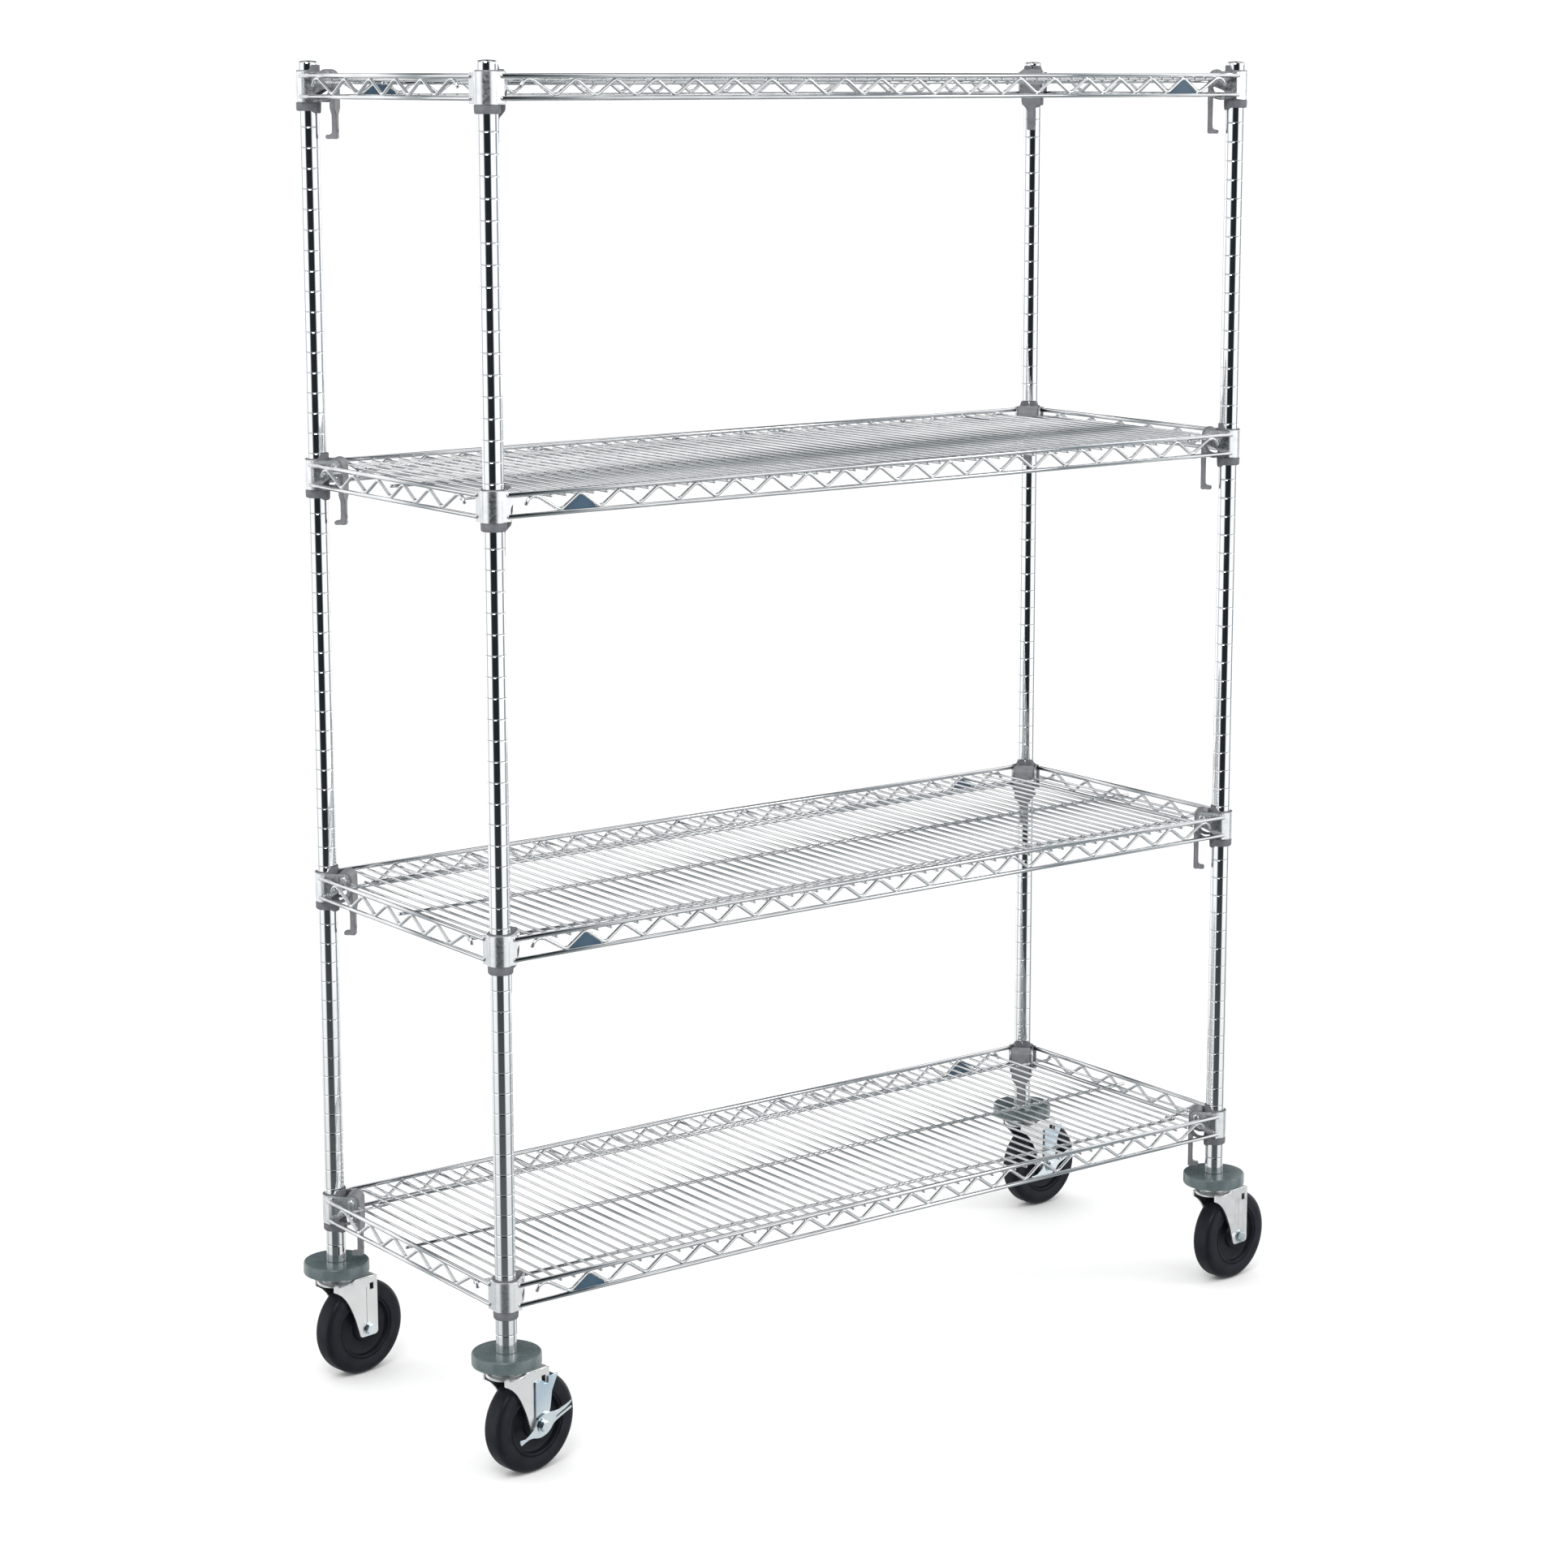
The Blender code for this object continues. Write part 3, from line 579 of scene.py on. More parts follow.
def wing_loops():
    """A wing's outline and its window, as loops of as many points that start on the same side."""
    wing = [(WING_START, 0), (22 * MM, 0), (WING_LENGTH - 3 * MM, 3 * MM), (WING_LENGTH, 8 * MM)]
    wing += [(WING_LENGTH, 33 * MM), (WING_LENGTH - 4 * MM, COLLAR_HEIGHT), (WING_START, COLLAR_HEIGHT)]
    outer_loop = resampled(wing, WING_POINTS)
    hole_loop = smooth_closed(WINDOW, WING_POINTS)

    def direction(point):
        away = Vector(point) - WINDOW_CENTRE
        return math.atan2(away.y, away.x)

    first = direction(outer_loop[0])
    start = min(range(WING_POINTS), key=lambda index: abs(direction(hole_loop[index]) - first))
    return outer_loop, hole_loop[start:] + hole_loop[:start]


def add_collar(shape, matrix):
    """A collar about its post: a shell, two wings with a lens-shaped window, and the lever's pin."""
    outline = arc((0, 0), COLLAR_OUTER, 90, 270, 28)
    outline += [(COLLAR_OPEN, -COLLAR_OUTER), (COLLAR_OPEN, -COLLAR_INNER)]
    outline += arc((0, 0), COLLAR_INNER, 270, 90, 28)
    outline += [(COLLAR_OPEN, COLLAR_INNER), (COLLAR_OPEN, COLLAR_OUTER)]
    add_prism(shape, outline, 0, COLLAR_HEIGHT, matrix, bevel=0.35 * MM, steps=1)
    outer_loop, hole_loop = wing_loops()
    for low in (COLLAR_INNER, -COLLAR_OUTER):
        standing = matrix @ Matrix.Translation((0, low + COLLAR_WALL, 0)) @ STANDING
        add_plate(shape, outer_loop, hole_loop, COLLAR_WALL, standing)
    pin = matrix @ Matrix.Translation((LEVER_PIN, 0, LEVER_PIN_Z)) @ STANDING
    head, edge = COLLAR_OUTER + PIN_HEAD, COLLAR_OUTER + PIN_HEAD_EDGE
    half = [(PIN_RADIUS, COLLAR_OUTER), (PIN_HEAD_RADIUS, COLLAR_OUTER), (PIN_HEAD_RADIUS, edge)]
    half += [(PIN_HEAD_FLAT, head), (0, head)]
    profile = [(radius, -height) for radius, height in half[::-1]] + half
    add_turned(shape, profile, 20, pin)


TAB_START = 2 * MM
TAB_END = 13.5 * MM
TAB_FLARE = 0.4 * MM  # how far a tab leans out at its end
TAB_INSET = 1.0 * MM  # from the collar's top and bottom


def add_tabs(shape, across, along):
    """The two tabs of a corner's collar that the frame's rails are welded to."""
    outline = [(TAB_START, COLLAR_INNER), (TAB_END, COLLAR_INNER + TAB_FLARE)]
    outline += [(TAB_END, COLLAR_OUTER + TAB_FLARE), (TAB_START, COLLAR_OUTER)]
    corner = Matrix.Translation((across * HALF_X, along * HALF_Y, 0))
    on_long_side = Matrix.Diagonal((-across, along, 1, 1))
    quarter = Matrix.Rotation(math.radians(90), 4, "Z")
    on_short_side = Matrix.Diagonal((-across, -along, 1, 1)) @ quarter
    for flip in (on_long_side, on_short_side):
        place = corner @ flip
        add_prism(shape, outline, TAB_INSET, COLLAR_HEIGHT - TAB_INSET, place, bevel=0.3 * MM, steps=1)


def collars_mesh():
    """The four collars of a shelf."""
    shape = bmesh.new()
    for corner, (across, along) in CORNERS.items():
        place = Matrix.Translation((across * HALF_X, along * HALF_Y, 0))
        add_collar(shape, place @ Matrix.Rotation(inward_angle(corner), 4, "Z"))
        add_tabs(shape, across, along)
    return finish_mesh(shape, "shelf_collars", "collar", sharp=35)


LABEL_THICKNESS = 1.6 * MM
LABEL_OUT = 0.8 * MM  # from the rails' line to a label's near face
LABEL_SIDE_GAP = 3 * MM  # to the zigzag at each end of its lower edge
LABEL_ABOVE_RAIL = 1.5 * MM
LABEL_BELOW_RAIL = 5.5 * MM
LABEL_POINT = 2 * MM  # half of the flat at its top
LABEL_SHOULDER = (5 * MM, 1 * MM)  # beside and below its top


def labels_mesh(near_end):
    """Two plain triangular plates in the frame, near opposite ends of the front and of the back."""
    shape = bmesh.new()
    second_peak = (LONG_PEAKS - 1) / 2 * LONG_PITCH - LONG_PITCH
    low = LOW_RAIL_Z + LABEL_ABOVE_RAIL
    high = TOP_RAIL_Z - LABEL_BELOW_RAIL
    half = LONG_PITCH / 2 - LABEL_SIDE_GAP
    beside, below = LABEL_SHOULDER
    for side, end in ((-1, near_end), (1, -near_end)):
        middle = end * second_peak
        outline = [(middle - half, low), (middle + half, low), (middle + beside, high - below)]
        outline += [(middle + LABEL_POINT, high), (middle - LABEL_POINT, high)]
        outline += [(middle - beside, high - below)]
        line = side * (HALF_Y + RAIL_LINE)
        place = Matrix.Translation((0, line + LABEL_OUT, 0)) @ STANDING
        add_prism(shape, outline, 0, LABEL_THICKNESS, place, bevel=0.5 * MM)
    return finish_mesh(shape, "shelf_labels", "label", sharp=35)


def build_shelves():
    """The four shelves. On the top one the labels are near the other ends."""
    frame_side, deck, collars = frame_mesh(), deck_mesh(), collars_mesh()
    labels = {-1: labels_mesh(-1), 1: labels_mesh(1)}
    for level in LEVELS:
        body = LEVEL_BODY[level]
        place = (MIDDLE.x, MIDDLE.y, BASES[level])
        add_piece(f"shelf_{level}_deck", deck, body, place, 0, [f"shelf_{level}"])
        add_piece(f"shelf_{level}_frame", frame_side, body, place)
        add_piece(f"shelf_{level}_collars", collars, body, place)
        near_end = 1 if level == "top" else -1
        add_piece(f"shelf_{level}_labels", labels[near_end], body, place)


# ---------------------------------------------------------------- sleeves and levers


SLEEVE_INNER = POST_RADIUS + 0.25 * MM
SLEEVE_BODY = COLLAR_OUTER - COLLAR_WALL - 0.3 * MM
SLEEVE_TOP = COLLAR_HEIGHT + 1.2 * MM
SLEEVE_BOTTOM = -10.5 * MM
SLEEVE_SKIRT = in_mm([(-10.5, 14.1), (-9.9, 14.9), (-8.5, 15.4), (-1.2, 15.6), (-0.4, 15.5)])
SLEEVE_SPLIT = 3.0  # half of the split, in degrees
SLEEVE_STEPS = 44
TONGUE_RISE = 6.5 * MM  # of the tongue above the sleeve's top, on the side of the lever
TONGUE_DROP = 3.0 * MM  # of the skirt on the same side


def tongue_share(inward, start, width):
    """How much of the tongue there is, from 0 to 1, by the cosine of the angle from the lever."""
    return min(1.0, max(0.0, (inward - start) / width))


def sleeve_mesh():
    """A split sleeve: a round body inside the collar, a skirt below it and a tongue above it."""
    shape = bmesh.new()
    outer = SLEEVE_SKIRT + [(-0.35 * MM, SLEEVE_BODY), (COLLAR_HEIGHT + 0.5 * MM, SLEEVE_BODY)]
    outer += [(SLEEVE_TOP, SLEEVE_BODY - 0.3 * MM), (SLEEVE_TOP, SLEEVE_INNER), (SLEEVE_BOTTOM, SLEEVE_INNER)]
    columns = []
    for step in range(SLEEVE_STEPS + 1):
        angle = math.radians(SLEEVE_SPLIT + (360 - 2 * SLEEVE_SPLIT) * step / SLEEVE_STEPS)
        inward = max(0.0, math.cos(angle))
        rise = TONGUE_RISE * tongue_share(inward, 0.35, 0.25)
        drop = TONGUE_DROP * tongue_share(inward, 0.5, 0.3)
        column = []
        for height, radius in outer:
            if height > COLLAR_HEIGHT:
                height += rise
            elif height < -9 * MM:
                height -= drop
            point = (radius * math.cos(angle), radius * math.sin(angle), height)
            column.append(shape.verts.new(point))
        columns.append(column)
    count = len(columns[0])
    for first, second in zip(columns, columns[1:]):
        for step in range(count):
            after = (step + 1) % count
            shape.faces.new((first[step], second[step], second[after], first[after]))
    shape.faces.new(columns[0])
    shape.faces.new(columns[-1][::-1])
    return finish_mesh(shape, "split_sleeve", "sleeve", sharp=40)


LEVER_GAP = 0.5 * MM  # to the wings on both sides
LEVER_HEAD = 10.6 * MM
LEVER_WEB = [(-12, -13.8), (-37, -13.4), (-42, -9), (-46, -5.4), (-75, -5.2)]
LEVER_WEB_FACE = 10.8 * MM  # from the pin's axis to the outer face of the web
LEVER_WEB_THICKNESS = 6.6 * MM
LEVER_HOOK = [
    (10.8, -62), (10.8, -66.5), (10.2, -70), (8.4, -73), (5.6, -74.7), (2, -75), (-3.2, -75),
    (-4.2, -74), (-4.2, -70.8), (-3.2, -69.8), (0.5, -69.7), (2.8, -69), (4, -66.8), (4.2, -62),
]
LEVER_HOOK_HALF = 5.2 * MM


def lever_mesh():
    """The lever about its pin: an arched head between the wings, a web and a hooked handle."""
    shape = bmesh.new()
    half = COLLAR_OUTER - COLLAR_WALL - LEVER_GAP
    head = arc((0, 0), LEVER_HEAD, 10, 200, 14)
    head += in_mm([(-6, -8), (3.5, -9), (4, -14)]) + [(LEVER_HEAD, -14 * MM)]
    add_prism(shape, head, -half, half, STANDING, bevel=1.2 * MM)
    face = Matrix.Translation((LEVER_WEB_FACE, 0, 0)) @ Matrix.Rotation(math.radians(-90), 4, "Y")
    add_prism(shape, mirrored(in_mm(LEVER_WEB)), 0, LEVER_WEB_THICKNESS, face, bevel=1.0 * MM)
    add_prism(shape, in_mm(LEVER_HOOK), -LEVER_HOOK_HALF, LEVER_HOOK_HALF, STANDING, bevel=0.9 * MM)
    return finish_mesh(shape, "release_lever", "lever", sharp=45)


def build_locks():
    """A sleeve and a release lever at each corner of each shelf."""
    sleeve, lever = sleeve_mesh(), lever_mesh()
    for level in LEVELS:
        for corner, axis in POST_AXIS.items():
            turn = inward_angle(corner)
            place = Vector((axis.x, axis.y, BASES[level]))
            node = f"sleeve_{level}_{corner}"
            add_piece(f"split_{node}", sleeve, LEVEL_BODY[level], place, turn, [node])
            pin = place + Vector((math.cos(turn) * LEVER_PIN, math.sin(turn) * LEVER_PIN, LEVER_PIN_Z))
            body = f"lever_{level}_{corner}"
            name = f"corner_lever_{level}_{corner}"
            add_piece(name, lever, body, pin, turn, [f"release_lever_{level}_{corner}"])


# ---------------------------------------------------------------- casters


WHEEL_LOW, WHEEL_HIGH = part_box("wheel_rr")
WHEEL_RADIUS = (WHEEL_HIGH.z - WHEEL_LOW.z) / 2
WHEEL_HALF = 16.0 * MM
FORK_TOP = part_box("fork_fl")[1].z
LEG_INNER = 18.5 * MM
LEG = 3.0 * MM
LEG_OUTER = LEG_INNER + LEG
LEG_HALF = 15.0 * MM  # half of a leg's width at its foot
LEG_FOOT = 9.5 * MM  # how far a leg reaches below the axle
LEG_SLOT = (6.4 * MM, 9.0 * MM)
LEG_SLOT_EDGE = 6.2 * MM  # from the trailing edge
LEG_SLOT_DROP = 9.5 * MM  # from the fork's top
AXLE_RADIUS = 4 * MM
BRAKE_GAP = 5.4 * MM  # room for the brake between the leg and the bolt's head
BUMPER_BORE = 11.3 * MM
BUMPER_BEND = 2.2 * MM


def bumper_mesh():
    """A round disc with rounded edges and a slightly sunk middle."""
    low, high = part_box("bumper_fl")
    centre = (high.x - low.x) / 2 - BUMPER_BEND
    profile = [(BUMPER_BORE, low.z)]
    profile += arc((centre, low.z + BUMPER_BEND), BUMPER_BEND, -90, 0, 4)
    profile += arc((centre, high.z - BUMPER_BEND), BUMPER_BEND, 0, 90, 4)
    profile += [(17 * MM, high.z - 0.25 * MM), (15 * MM, high.z - 0.25 * MM)]
    profile += [(BUMPER_BORE, high.z - 0.2 * MM)]
    shape = bmesh.new()
    add_turned(shape, profile, segments=64)
    return finish_mesh(shape, "bumper", "bumper", sharp=40)


RACE_RADIUS = 19.5 * MM
STEM_RADIUS = 10.7 * MM
KINGPIN_RADIUS = 5 * MM
KINGPIN_HEAD = 9 * MM


def stem_mesh():
    """The stem in the post, the bearing race under the bumper, and the kingpin."""
    low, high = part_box("caster_stem_fl")
    bumper_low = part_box("bumper_fl")[0].z
    head_top = low.z + 4.4 * MM
    race_bottom, race_top = FORK_TOP + 0.4 * MM, bumper_low - 0.3 * MM
    profile = [(0, low.z), (7 * MM, low.z), (KINGPIN_HEAD, low.z + 1.5 * MM), (KINGPIN_HEAD, head_top)]
    profile += [(KINGPIN_RADIUS, head_top), (KINGPIN_RADIUS, race_bottom)]
    profile += [(RACE_RADIUS - 2 * MM, race_bottom), (RACE_RADIUS, FORK_TOP + 2.2 * MM)]
    profile += [(RACE_RADIUS, bumper_low - 4 * MM)]
    profile += [(RACE_RADIUS - 3 * MM, bumper_low - 1.2 * MM), (RACE_RADIUS - 4 * MM, race_top)]
    profile += [(STEM_RADIUS, race_top), (STEM_RADIUS, high.z - 1.5 * MM), (9.5 * MM, high.z), (0, high.z)]
    shape = bmesh.new()
    add_turned(shape, profile, segments=40)
    return finish_mesh(shape, "caster_stem", "zinc", sharp=35)


# The wheel's side from the hub out to the tread: radius and distance from its middle plane, in mm
WHEEL_SIDE = (
    (4.8, 15.6), (9.5, 15.6), (10.0, 15.0), (17.0, 14.6), (18.2, 13.0), (19.0, 9.0), (22.0, 8.0),
    (33.0, 8.0), (36.5, 8.4), (37.4, 9.2), (38.2, 13.6), (39.0, 14.6), (40.0, 14.8), (40.6, 13.8),
    (42.0, 13.6), (42.8, 15.0), (50.0, 15.9), (57.0, 15.4),
)
TREAD_BEND = 8 * MM


def tyre_mesh():
    """The wheel about its axle: a rounded tread, stepped side walls and a hub with a recessed face."""
    centre = (WHEEL_RADIUS - TREAD_BEND, WHEEL_HALF - TREAD_BEND - 1 * MM)
    tread = arc(centre, TREAD_BEND, 75, 0, 6)[1:]
    profile = mirrored(in_mm(WHEEL_SIDE) + tread)
    shape = bmesh.new()
    add_turned(shape, profile, 72, STANDING)
    return finish_mesh(shape, "wheel", "rubber", sharp=50)


# The swept leading edge of a leg upwards from its foot: back from that edge's foot, and above the axle, in mm
LEG_SWEEP = (
    (-4.5, 10), (-7.5, 19), (-12, 30), (-17, 40), (-22.5, 48.5), (-29.5, 56), (-36, 60.5), (-40, 62.5),
)
LEG_FOOT_BEND = 5 * MM


def fork_outline(trail):
    """Side view of a fork leg: straight trailing edge, swept leading edge, round foot."""
    back, front = trail + LEG_HALF, trail - LEG_HALF
    bend = LEG_FOOT_BEND
    foot = WHEEL_RADIUS - LEG_FOOT
    points = arc((back - bend, foot + bend), bend, 0, -90, 5)
    points += arc((front + bend, foot + bend), bend, -90, -180, 5)
    points += [(front + x * MM, WHEEL_RADIUS + z * MM) for x, z in LEG_SWEEP]
    points += [(-20 * MM, FORK_TOP - 1 * MM), (back, FORK_TOP - 1 * MM)]
    return points


def add_leg(shape, outline, slot, low):
    """A fork leg with a slot through it."""
    made = bmesh.new()
    edges = []
    for loop in (outline, slot):
        verts = [made.verts.new((x, y, low)) for x, y in loop]
        edges += [made.edges.new(pair) for pair in zip(verts, verts[1:] + verts[:1])]
    bmesh.ops.triangle_fill(made, use_beauty=True, edges=edges)
    lifted = bmesh.ops.extrude_face_region(made, geom=list(made.faces))
    moved = [item for item in lifted["geom"] if isinstance(item, bmesh.types.BMVert)]
    bmesh.ops.translate(made, verts=moved, vec=(0, 0, LEG))
    bmesh.ops.recalc_face_normals(made, faces=made.faces)
    bmesh.ops.transform(made, matrix=STANDING, verts=made.verts)
    add_bmesh(shape, made)


def fork_mesh(trail):
    """A pressed fork: two slotted legs with an embossed rib, a bridge and a round crown."""
    shape = bmesh.new()
    outline = fork_outline(trail)
    back = trail + LEG_HALF
    slot_back, slot_high = back - LEG_SLOT_EDGE, FORK_TOP - LEG_SLOT_DROP
    slot_front, slot_low = slot_back - LEG_SLOT[0], slot_high - LEG_SLOT[1]
    slot = [(slot_front, slot_low), (slot_back, slot_low), (slot_back, slot_high), (slot_front, slot_high)]
    for side in (1, -1):
        add_leg(shape, outline, slot, LEG_INNER if side > 0 else -LEG_OUTER)
        rib_y = -side * (LEG_OUTER - 0.1 * MM)
        rib = [(back - 18 * MM, rib_y, FORK_TOP - down * MM) for down in (14, 30, 46, 62)]
        add_tube(shape, rib, 0.55 * MM, sides=10)
    bridge_start, bridge_half = -19 * MM, LEG_OUTER - 0.2 * MM
    bridge = [(bridge_start, -bridge_half), (back, -bridge_half), (back, bridge_half)]
    bridge += [(bridge_start, bridge_half)]
    add_prism(shape, bridge, FORK_TOP - 4 * MM, FORK_TOP - 0.2 * MM, bevel=1.5 * MM, steps=3)
    crown = [(6, -3.6), (26, -3.6), (26, -2.0), (25, -0.6), (23, 0), (6, 0)]
    add_turned(shape, [(radius * MM, FORK_TOP + z * MM) for radius, z in crown], segments=56)
    return finish_mesh(shape, "fork", "zinc", sharp=35)


NUT_RADIUS = 7.4 * MM
WASHER_RADIUS = 9.2 * MM
WASHER = 1.0 * MM
NUT_START, NUT_END = 0.9 * MM, 5.2 * MM  # from the leg, the nut's inner and outer face


def span_on_axle(start, way, near, far):
    """Two places on the axle, the lower one first: near and far from start, in the direction way."""
    return sorted((start + way * near, start + way * far))


def bolt_mesh(braked):
    """The hexagon axle bolt about the axle, with its washers and nut."""
    shape = bmesh.new()
    head_at = LEG_OUTER + (BRAKE_GAP if braked else 0)
    shank = [(0, -LEG_OUTER), (AXLE_RADIUS, -LEG_OUTER), (AXLE_RADIUS, head_at), (0, head_at)]
    add_turned(shape, shank, 24, STANDING)
    hexagon = arc((0, 0), NUT_RADIUS, 0, 360, 6)[:-1]
    for start, way in ((head_at, 1), (-LEG_OUTER, -1)):
        low, high = span_on_axle(start, way, NUT_START, NUT_END)
        add_prism(shape, hexagon, low, high, STANDING, bevel=0.7 * MM)
        low, high = span_on_axle(start, way, 0, WASHER)
        ring = [(AXLE_RADIUS, low), (WASHER_RADIUS, low), (WASHER_RADIUS, high), (AXLE_RADIUS, high)]
        add_turned(shape, ring, 28, STANDING)
    return finish_mesh(shape, "axle_bolt", "blue_zinc", sharp=35)


# Outlines of the brake about the axle, in mm: the plate, and the lever before it is tilted
PLATE_OUTLINE = (
    (-6.6, -5.4), (-4, -5.8), (5, -5.8), (7.5, -4), (14.6, 19), (17.6, 40), (26, 57), (27.6, 60),
    (26, 60.3), (12, 60.3), (11.2, 59.6), (11.2, 53), (10, 52), (4.6, 52), (3.8, 53), (3.8, 56),
    (3, 56.8), (-8.6, 56.8), (-9.8, 55.6), (-9.8, 4), (-8, -3),
)
ROCKER_OUTLINE = (
    (-39, -3), (-34, -3.2), (-26, -3.4), (-19, -6), (-13, -10), (-6, -12.6), (2, -13), (9, -11),
    (14, -8), (20, -6.4), (34, -6), (44, -6.2), (48, -5.4), (48.4, -4), (44, -2.8), (30, -2.4),
    (22, -2.2), (21.4, -1.4), (30, -0.8), (42, -0.6), (48, 0.8), (52.4, 3.2), (51.8, 4), (44, 3.6),
    (34, 4.4), (26, 5.4), (19, 8.4), (12, 11.6), (5, 13), (-3, 12.4), (-9, 9), (-14, 5),
    (-22, 2.4), (-30, 1.2), (-35, 2.4), (-38.4, 4), (-39.8, 1),
)
PLATE_LOW = LEG_OUTER + 0.3 * MM
PLATE_THICKNESS = 2 * MM
ROCKER_LOW = LEG_OUTER + 2.6 * MM
ROCKER_THICKNESS = 2.4 * MM
ROCKER_TILT = 20  # degrees
ROCKER_POINTS = 200


def brake_plate_mesh():
    """The blued brake plate beside the leg: narrow at the axle, wide and notched at its top."""
    shape = bmesh.new()
    high = PLATE_LOW + PLATE_THICKNESS
    add_prism(shape, in_mm(PLATE_OUTLINE), PLATE_LOW, high, STANDING, bevel=0.5 * MM)
    return finish_mesh(shape, "brake_plate", "blue_zinc", sharp=35)


def brake_lever_mesh():
    """The rocking lever on the axle: a dished boss with a long forked toe and a hooked heel."""
    shape = bmesh.new()
    tilt = Matrix.Rotation(math.radians(ROCKER_TILT), 4, "Z")
    points = smooth_closed(in_mm(ROCKER_OUTLINE), ROCKER_POINTS)
    high = ROCKER_LOW + ROCKER_THICKNESS
    add_prism(shape, points, ROCKER_LOW, high, STANDING @ tilt, bevel=0.6 * MM)
    return finish_mesh(shape, "brake_lever", "blue_zinc", sharp=35)


def axle_of(corner):
    """The middle of a caster's axle, and the level way to it from the swivel axis."""
    axle = Vector(JOINTS[f"wheel_{corner}_spin"]["pos_m"])
    axis = POST_AXIS[corner]
    return axle, axle - Vector((axis.x, axis.y, axle.z))


def build_casters():
    """A caster under each post, two of them with a brake."""
    bumper, stem, tyre = bumper_mesh(), stem_mesh(), tyre_mesh()
    plate, lever = brake_plate_mesh(), brake_lever_mesh()
    bolts = {braked: bolt_mesh(braked) for braked in (False, True)}
    fork = fork_mesh(axle_of("fl")[1].length)
    for corner, axis in POST_AXIS.items():
        axle, away = axle_of(corner)
        turn = math.atan2(away.y, away.x)
        foot = (axis.x, axis.y, 0)
        caster = f"caster_{corner}"
        add_piece(f"bumper_disc_{corner}", bumper, "root", foot, 0, [f"bumper_{corner}"])
        add_piece(f"stem_and_race_{corner}", stem, "root", foot, 0, [f"caster_stem_{corner}"])
        add_piece(f"pressed_fork_{corner}", fork, caster, foot, turn, [f"fork_{corner}"])
        add_piece(f"axle_bolt_{corner}", bolts[corner in BRAKED], caster, axle, turn)
        add_piece(f"tyre_{corner}", tyre, f"wheel_{corner}", axle, turn, [f"wheel_{corner}"])
        if corner in BRAKED:
            name, node = f"brake_strip_{corner}", f"brake_plate_{corner}"
            add_piece(name, plate, caster, axle, turn, [node])
            name, node = f"brake_rocker_{corner}", f"brake_lever_{corner}"
            add_piece(name, lever, f"brake_{corner}", axle, turn, [node])


# ---------------------------------------------------------------- stage


# The camera, fitted to the rack's posts, shelves and wheels: degrees, millimetres and metres
CAMERA_YAW = 36.98
CAMERA_PITCH = 9.83
CAMERA_LENS = 80.7
CAMERA_SENSOR = 36.0
CAMERA_SHIFT = (-0.0165, -0.066)
CAMERA_FROM_POST = Vector((-2.163, -3.488))
CAMERA_HEIGHT = 1.701
FLOOR_SIZE = 400


def build_camera():
    """The camera in front of the front left post."""
    data = bpy.data.cameras.new("camera")
    data.lens = CAMERA_LENS
    data.sensor_width = CAMERA_SENSOR
    data.shift_x, data.shift_y = CAMERA_SHIFT
    camera = bpy.data.objects.new("camera", data)
    bpy.context.scene.collection.objects.link(camera)
    nearest = POST_AXIS["fl"]
    camera.location = (nearest.x + CAMERA_FROM_POST.x, nearest.y + CAMERA_FROM_POST.y, CAMERA_HEIGHT)
    camera.rotation_euler = (math.radians(90 - CAMERA_PITCH), 0, math.radians(-CAMERA_YAW))
    bpy.context.scene.camera = camera


def build_floor():
    """A plain pale floor. It is left out of reflections, which come from the studio's panels."""
    bpy.ops.mesh.primitive_plane_add(size=FLOOR_SIZE)
    floor = bpy.context.object
    floor.name = "floor"
    material, tree, shader = new_material("pale_floor", (0.93, 0.93, 0.93), 0.9, 0.0)
    grain = noise(tree, 3.0, 2.0)
    tones = ((NOISE_LOW, (0.92, 0.92, 0.92)), (NOISE_HIGH, (0.94, 0.94, 0.94)))
    tree.links.new(ramp(tree, grain, tones), shader.inputs["Base Color"])
    floor.data.materials.append(material)
    floor.visible_glossy = False


# Tone of the studio's walls by heading, in degrees to the right of the direction towards the camera
WALL_TONES = (
    (-180, 0.05), (-168, 0.05), (-160, 1.0), (-108, 1.0), (-102, 0.45), (-94, 0.45), (-88, 1.0),
    (-45, 1.0), (-36, 0.25), (-30, 0.02), (26, 0.015), (33, 0.22), (40, 1.0),
    (90, 1.0), (96, 0.24), (112, 0.28), (119, 1.0), (165, 1.0), (172, 0.05), (180, 0.05),
)
WALL_TINT = (0.8, 1.0, 1.1)  # the darker a tone, the more of this it takes
NO_TINT = (1.0, 1.0, 1.0)
# Share of the wall's tone by height, as the sine of the elevation
WALL_SHARES = ((-1.0, 1.0), (0.46, 1.0), (0.56, 0.16), (0.74, 0.16), (0.84, 1.0), (1.0, 1.0))
# How far low directions turn to the grey of the floor, by the sine of the elevation
FLOOR_SHARES = ((-1.0, 0.85), (-0.55, 0.85), (-0.34, 0.42), (-0.20, 0.0), (1.0, 0.0))
FLOOR_GREY = (0.22, 0.24, 0.24)
STUDIO_STRENGTH = 1.2
# Area lights: place, size of a side and power
LIGHT_TARGET = Vector((0, 0, 0.7))
LIGHTS = {"key": ((-2.5, -2.0, 3.5), 1.6, 60), "fill": ((3.0, -2.5, 2.5), 1.6, 25)}


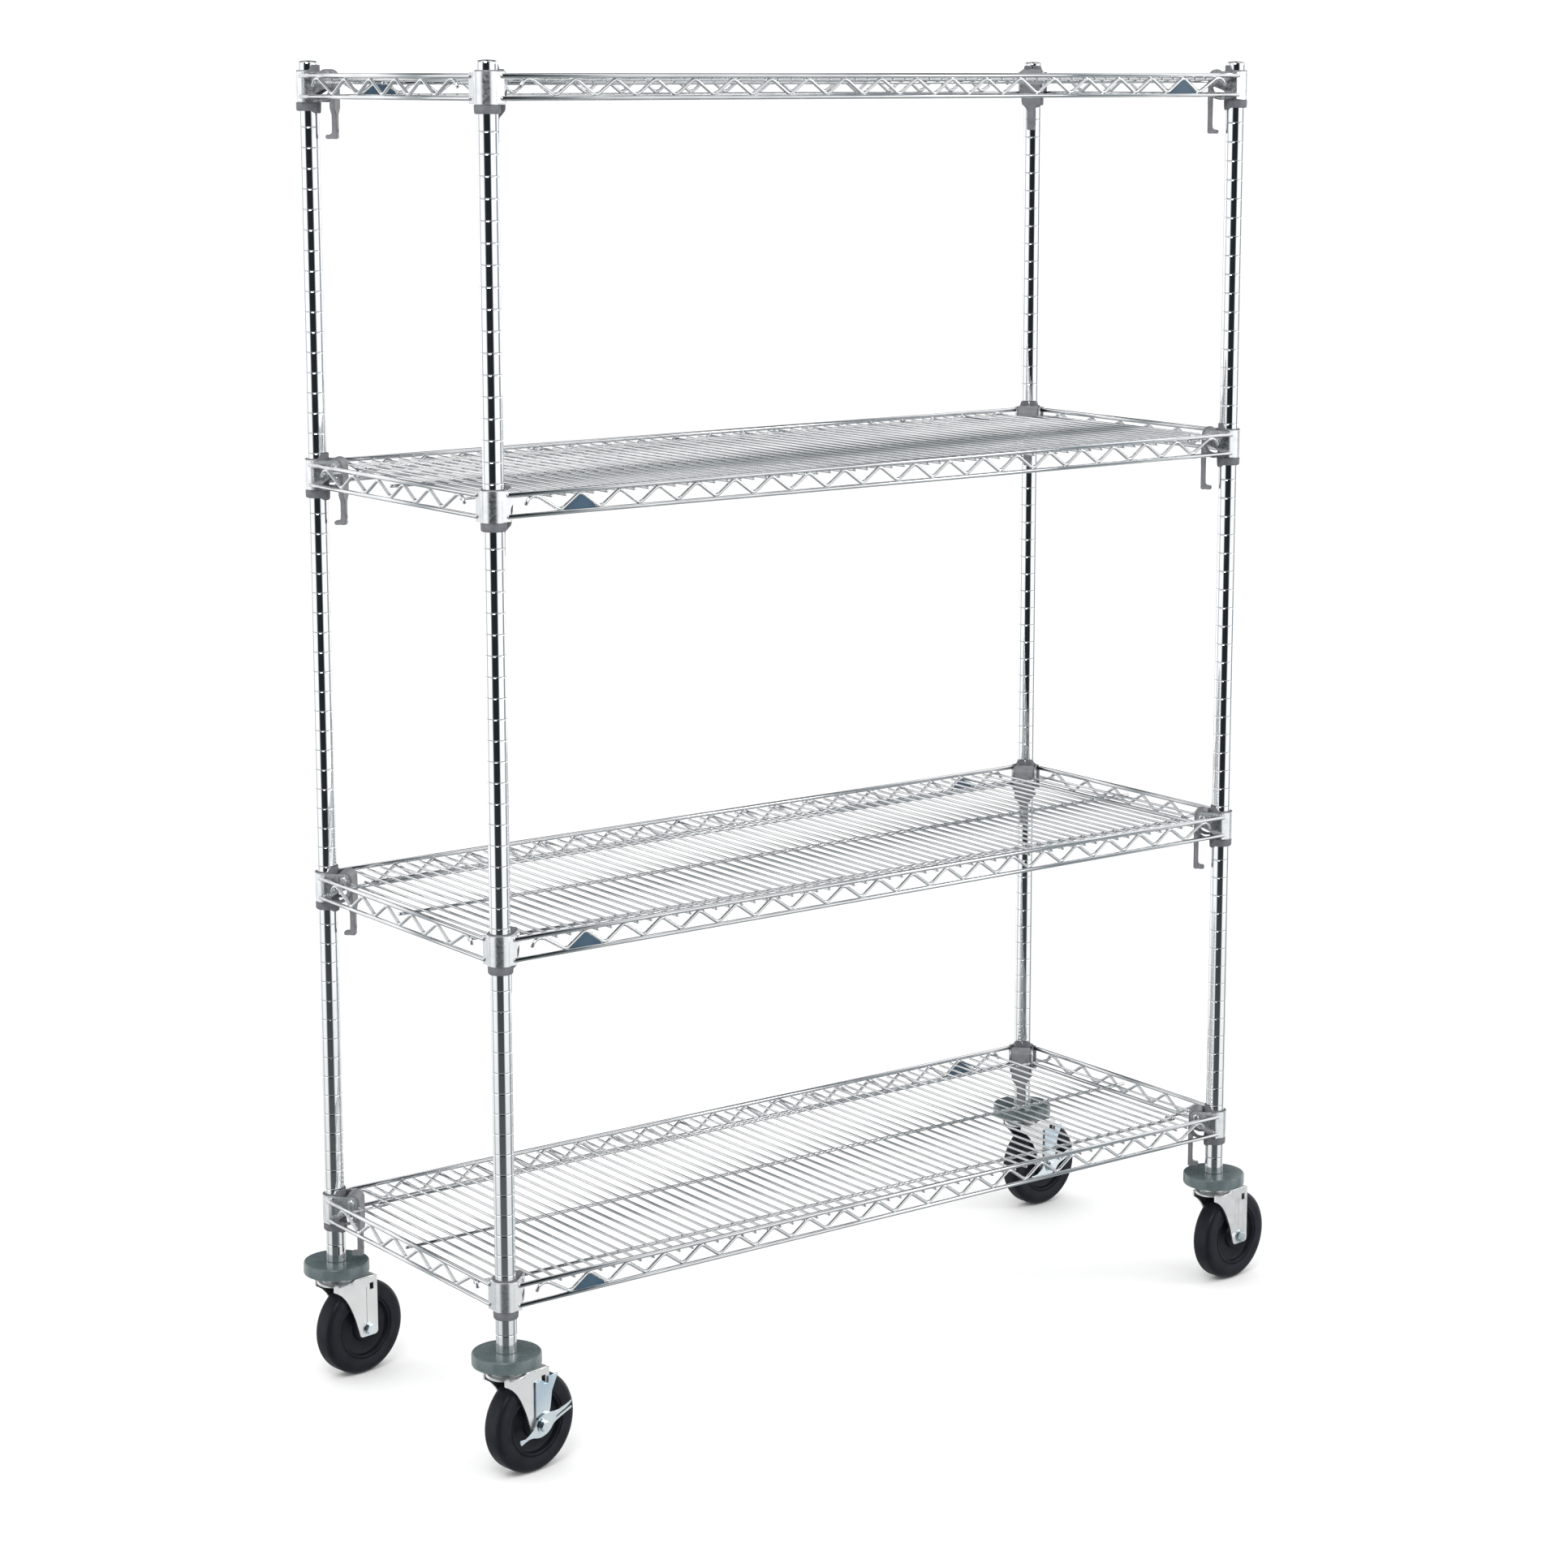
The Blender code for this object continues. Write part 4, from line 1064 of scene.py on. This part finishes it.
def tone_ramp(tree, value, stops, low, high, tint=NO_TINT):
    """A ramp of grey tones over a value that runs from low to high. Dark tones take the tint."""
    placed = []
    for place, tone in stops:
        colour = tuple(tone * (share + (1 - share) * tone) for share in tint)
        placed.append(((place - low) / (high - low), colour))
    node = tree.nodes.new("ShaderNodeMapRange")
    tree.links.new(value, node.inputs["Value"])
    node.inputs["From Min"].default_value = low
    node.inputs["From Max"].default_value = high
    return ramp(tree, node.outputs["Result"], placed)


def build_world():
    """A white studio. Reflections see its walls and floor instead.

    The walls have a dark gap on the camera's side, another opposite it, grey ones at the sides, and
    a dark band high up.
    """
    world = bpy.data.worlds.new("studio")
    bpy.context.scene.world = world
    world.use_nodes = True
    tree = world.node_tree
    nodes, links = tree.nodes, tree.links
    nodes.clear()

    def math_node(operation, *values):
        """A math node over numbers or sockets."""
        node = nodes.new("ShaderNodeMath")
        node.operation = operation
        for socket, value in zip(node.inputs, values):
            if isinstance(value, (int, float)):
                socket.default_value = value
            else:
                links.new(value, socket)
        return node.outputs[0]

    def mix(kind, factor, first, second):
        """A mix of two colours, each given as a colour or a socket."""
        node = nodes.new("ShaderNodeMix")
        node.data_type = "RGBA"
        node.blend_type = kind
        for socket, value in (("Factor", factor), ("A", first), ("B", second)):
            found = [item for item in node.inputs if item.name == socket and item.enabled][0]
            if isinstance(value, (int, float, tuple)):
                found.default_value = value
            else:
                links.new(value, found)
        return [item for item in node.outputs if item.enabled][0]

    place = nodes.new("ShaderNodeTexCoord")
    split = nodes.new("ShaderNodeSeparateXYZ")
    links.new(place.outputs["Generated"], split.inputs[0])
    heading = math_node("ARCTAN2", split.outputs["Y"], split.outputs["X"])
    turned = math_node("SUBTRACT", heading, math.radians(-90 - CAMERA_YAW))
    degrees = math_node("MULTIPLY", math_node("WRAP", turned, math.pi, -math.pi), 180 / math.pi)
    walls = tone_ramp(tree, degrees, WALL_TONES, -180, 180, WALL_TINT)
    shares = tone_ramp(tree, split.outputs["Z"], WALL_SHARES, -1, 1)
    low = tone_ramp(tree, split.outputs["Z"], FLOOR_SHARES, -1, 1)
    seen = mix("MIX", low, mix("MULTIPLY", 1.0, walls, shares), (*FLOOR_GREY, 1.0))
    reflected = nodes.new("ShaderNodeBackground")
    links.new(seen, reflected.inputs["Color"])
    reflected.inputs["Strength"].default_value = STUDIO_STRENGTH
    plain = nodes.new("ShaderNodeBackground")
    plain.inputs["Color"].default_value = (1, 1, 1, 1)
    plain.inputs["Strength"].default_value = STUDIO_STRENGTH
    path = nodes.new("ShaderNodeLightPath")
    choose = nodes.new("ShaderNodeMixShader")
    links.new(path.outputs["Is Glossy Ray"], choose.inputs[0])
    links.new(plain.outputs[0], choose.inputs[1])
    links.new(reflected.outputs[0], choose.inputs[2])
    out = nodes.new("ShaderNodeOutputWorld")
    links.new(choose.outputs[0], out.inputs["Surface"])


def build_lights():
    """The soft area lights, turned towards the rack."""
    for name, (place, size, power) in LIGHTS.items():
        data = bpy.data.lights.new(name, "AREA")
        data.shape = "RECTANGLE"
        data.size = size
        data.size_y = size
        data.energy = power
        light = bpy.data.objects.new(name, data)
        bpy.context.scene.collection.objects.link(light)
        light.location = place
        light.rotation_euler = (LIGHT_TARGET - Vector(place)).to_track_quat("-Z", "Y").to_euler()


def build_stage():
    """Camera, floor and light, with colours shown as they are."""
    build_camera()
    build_floor()
    build_world()
    build_lights()
    bpy.context.scene.view_settings.view_transform = "Standard"


build_stage()
build_posts()
build_shelves()
build_locks()
build_casters()
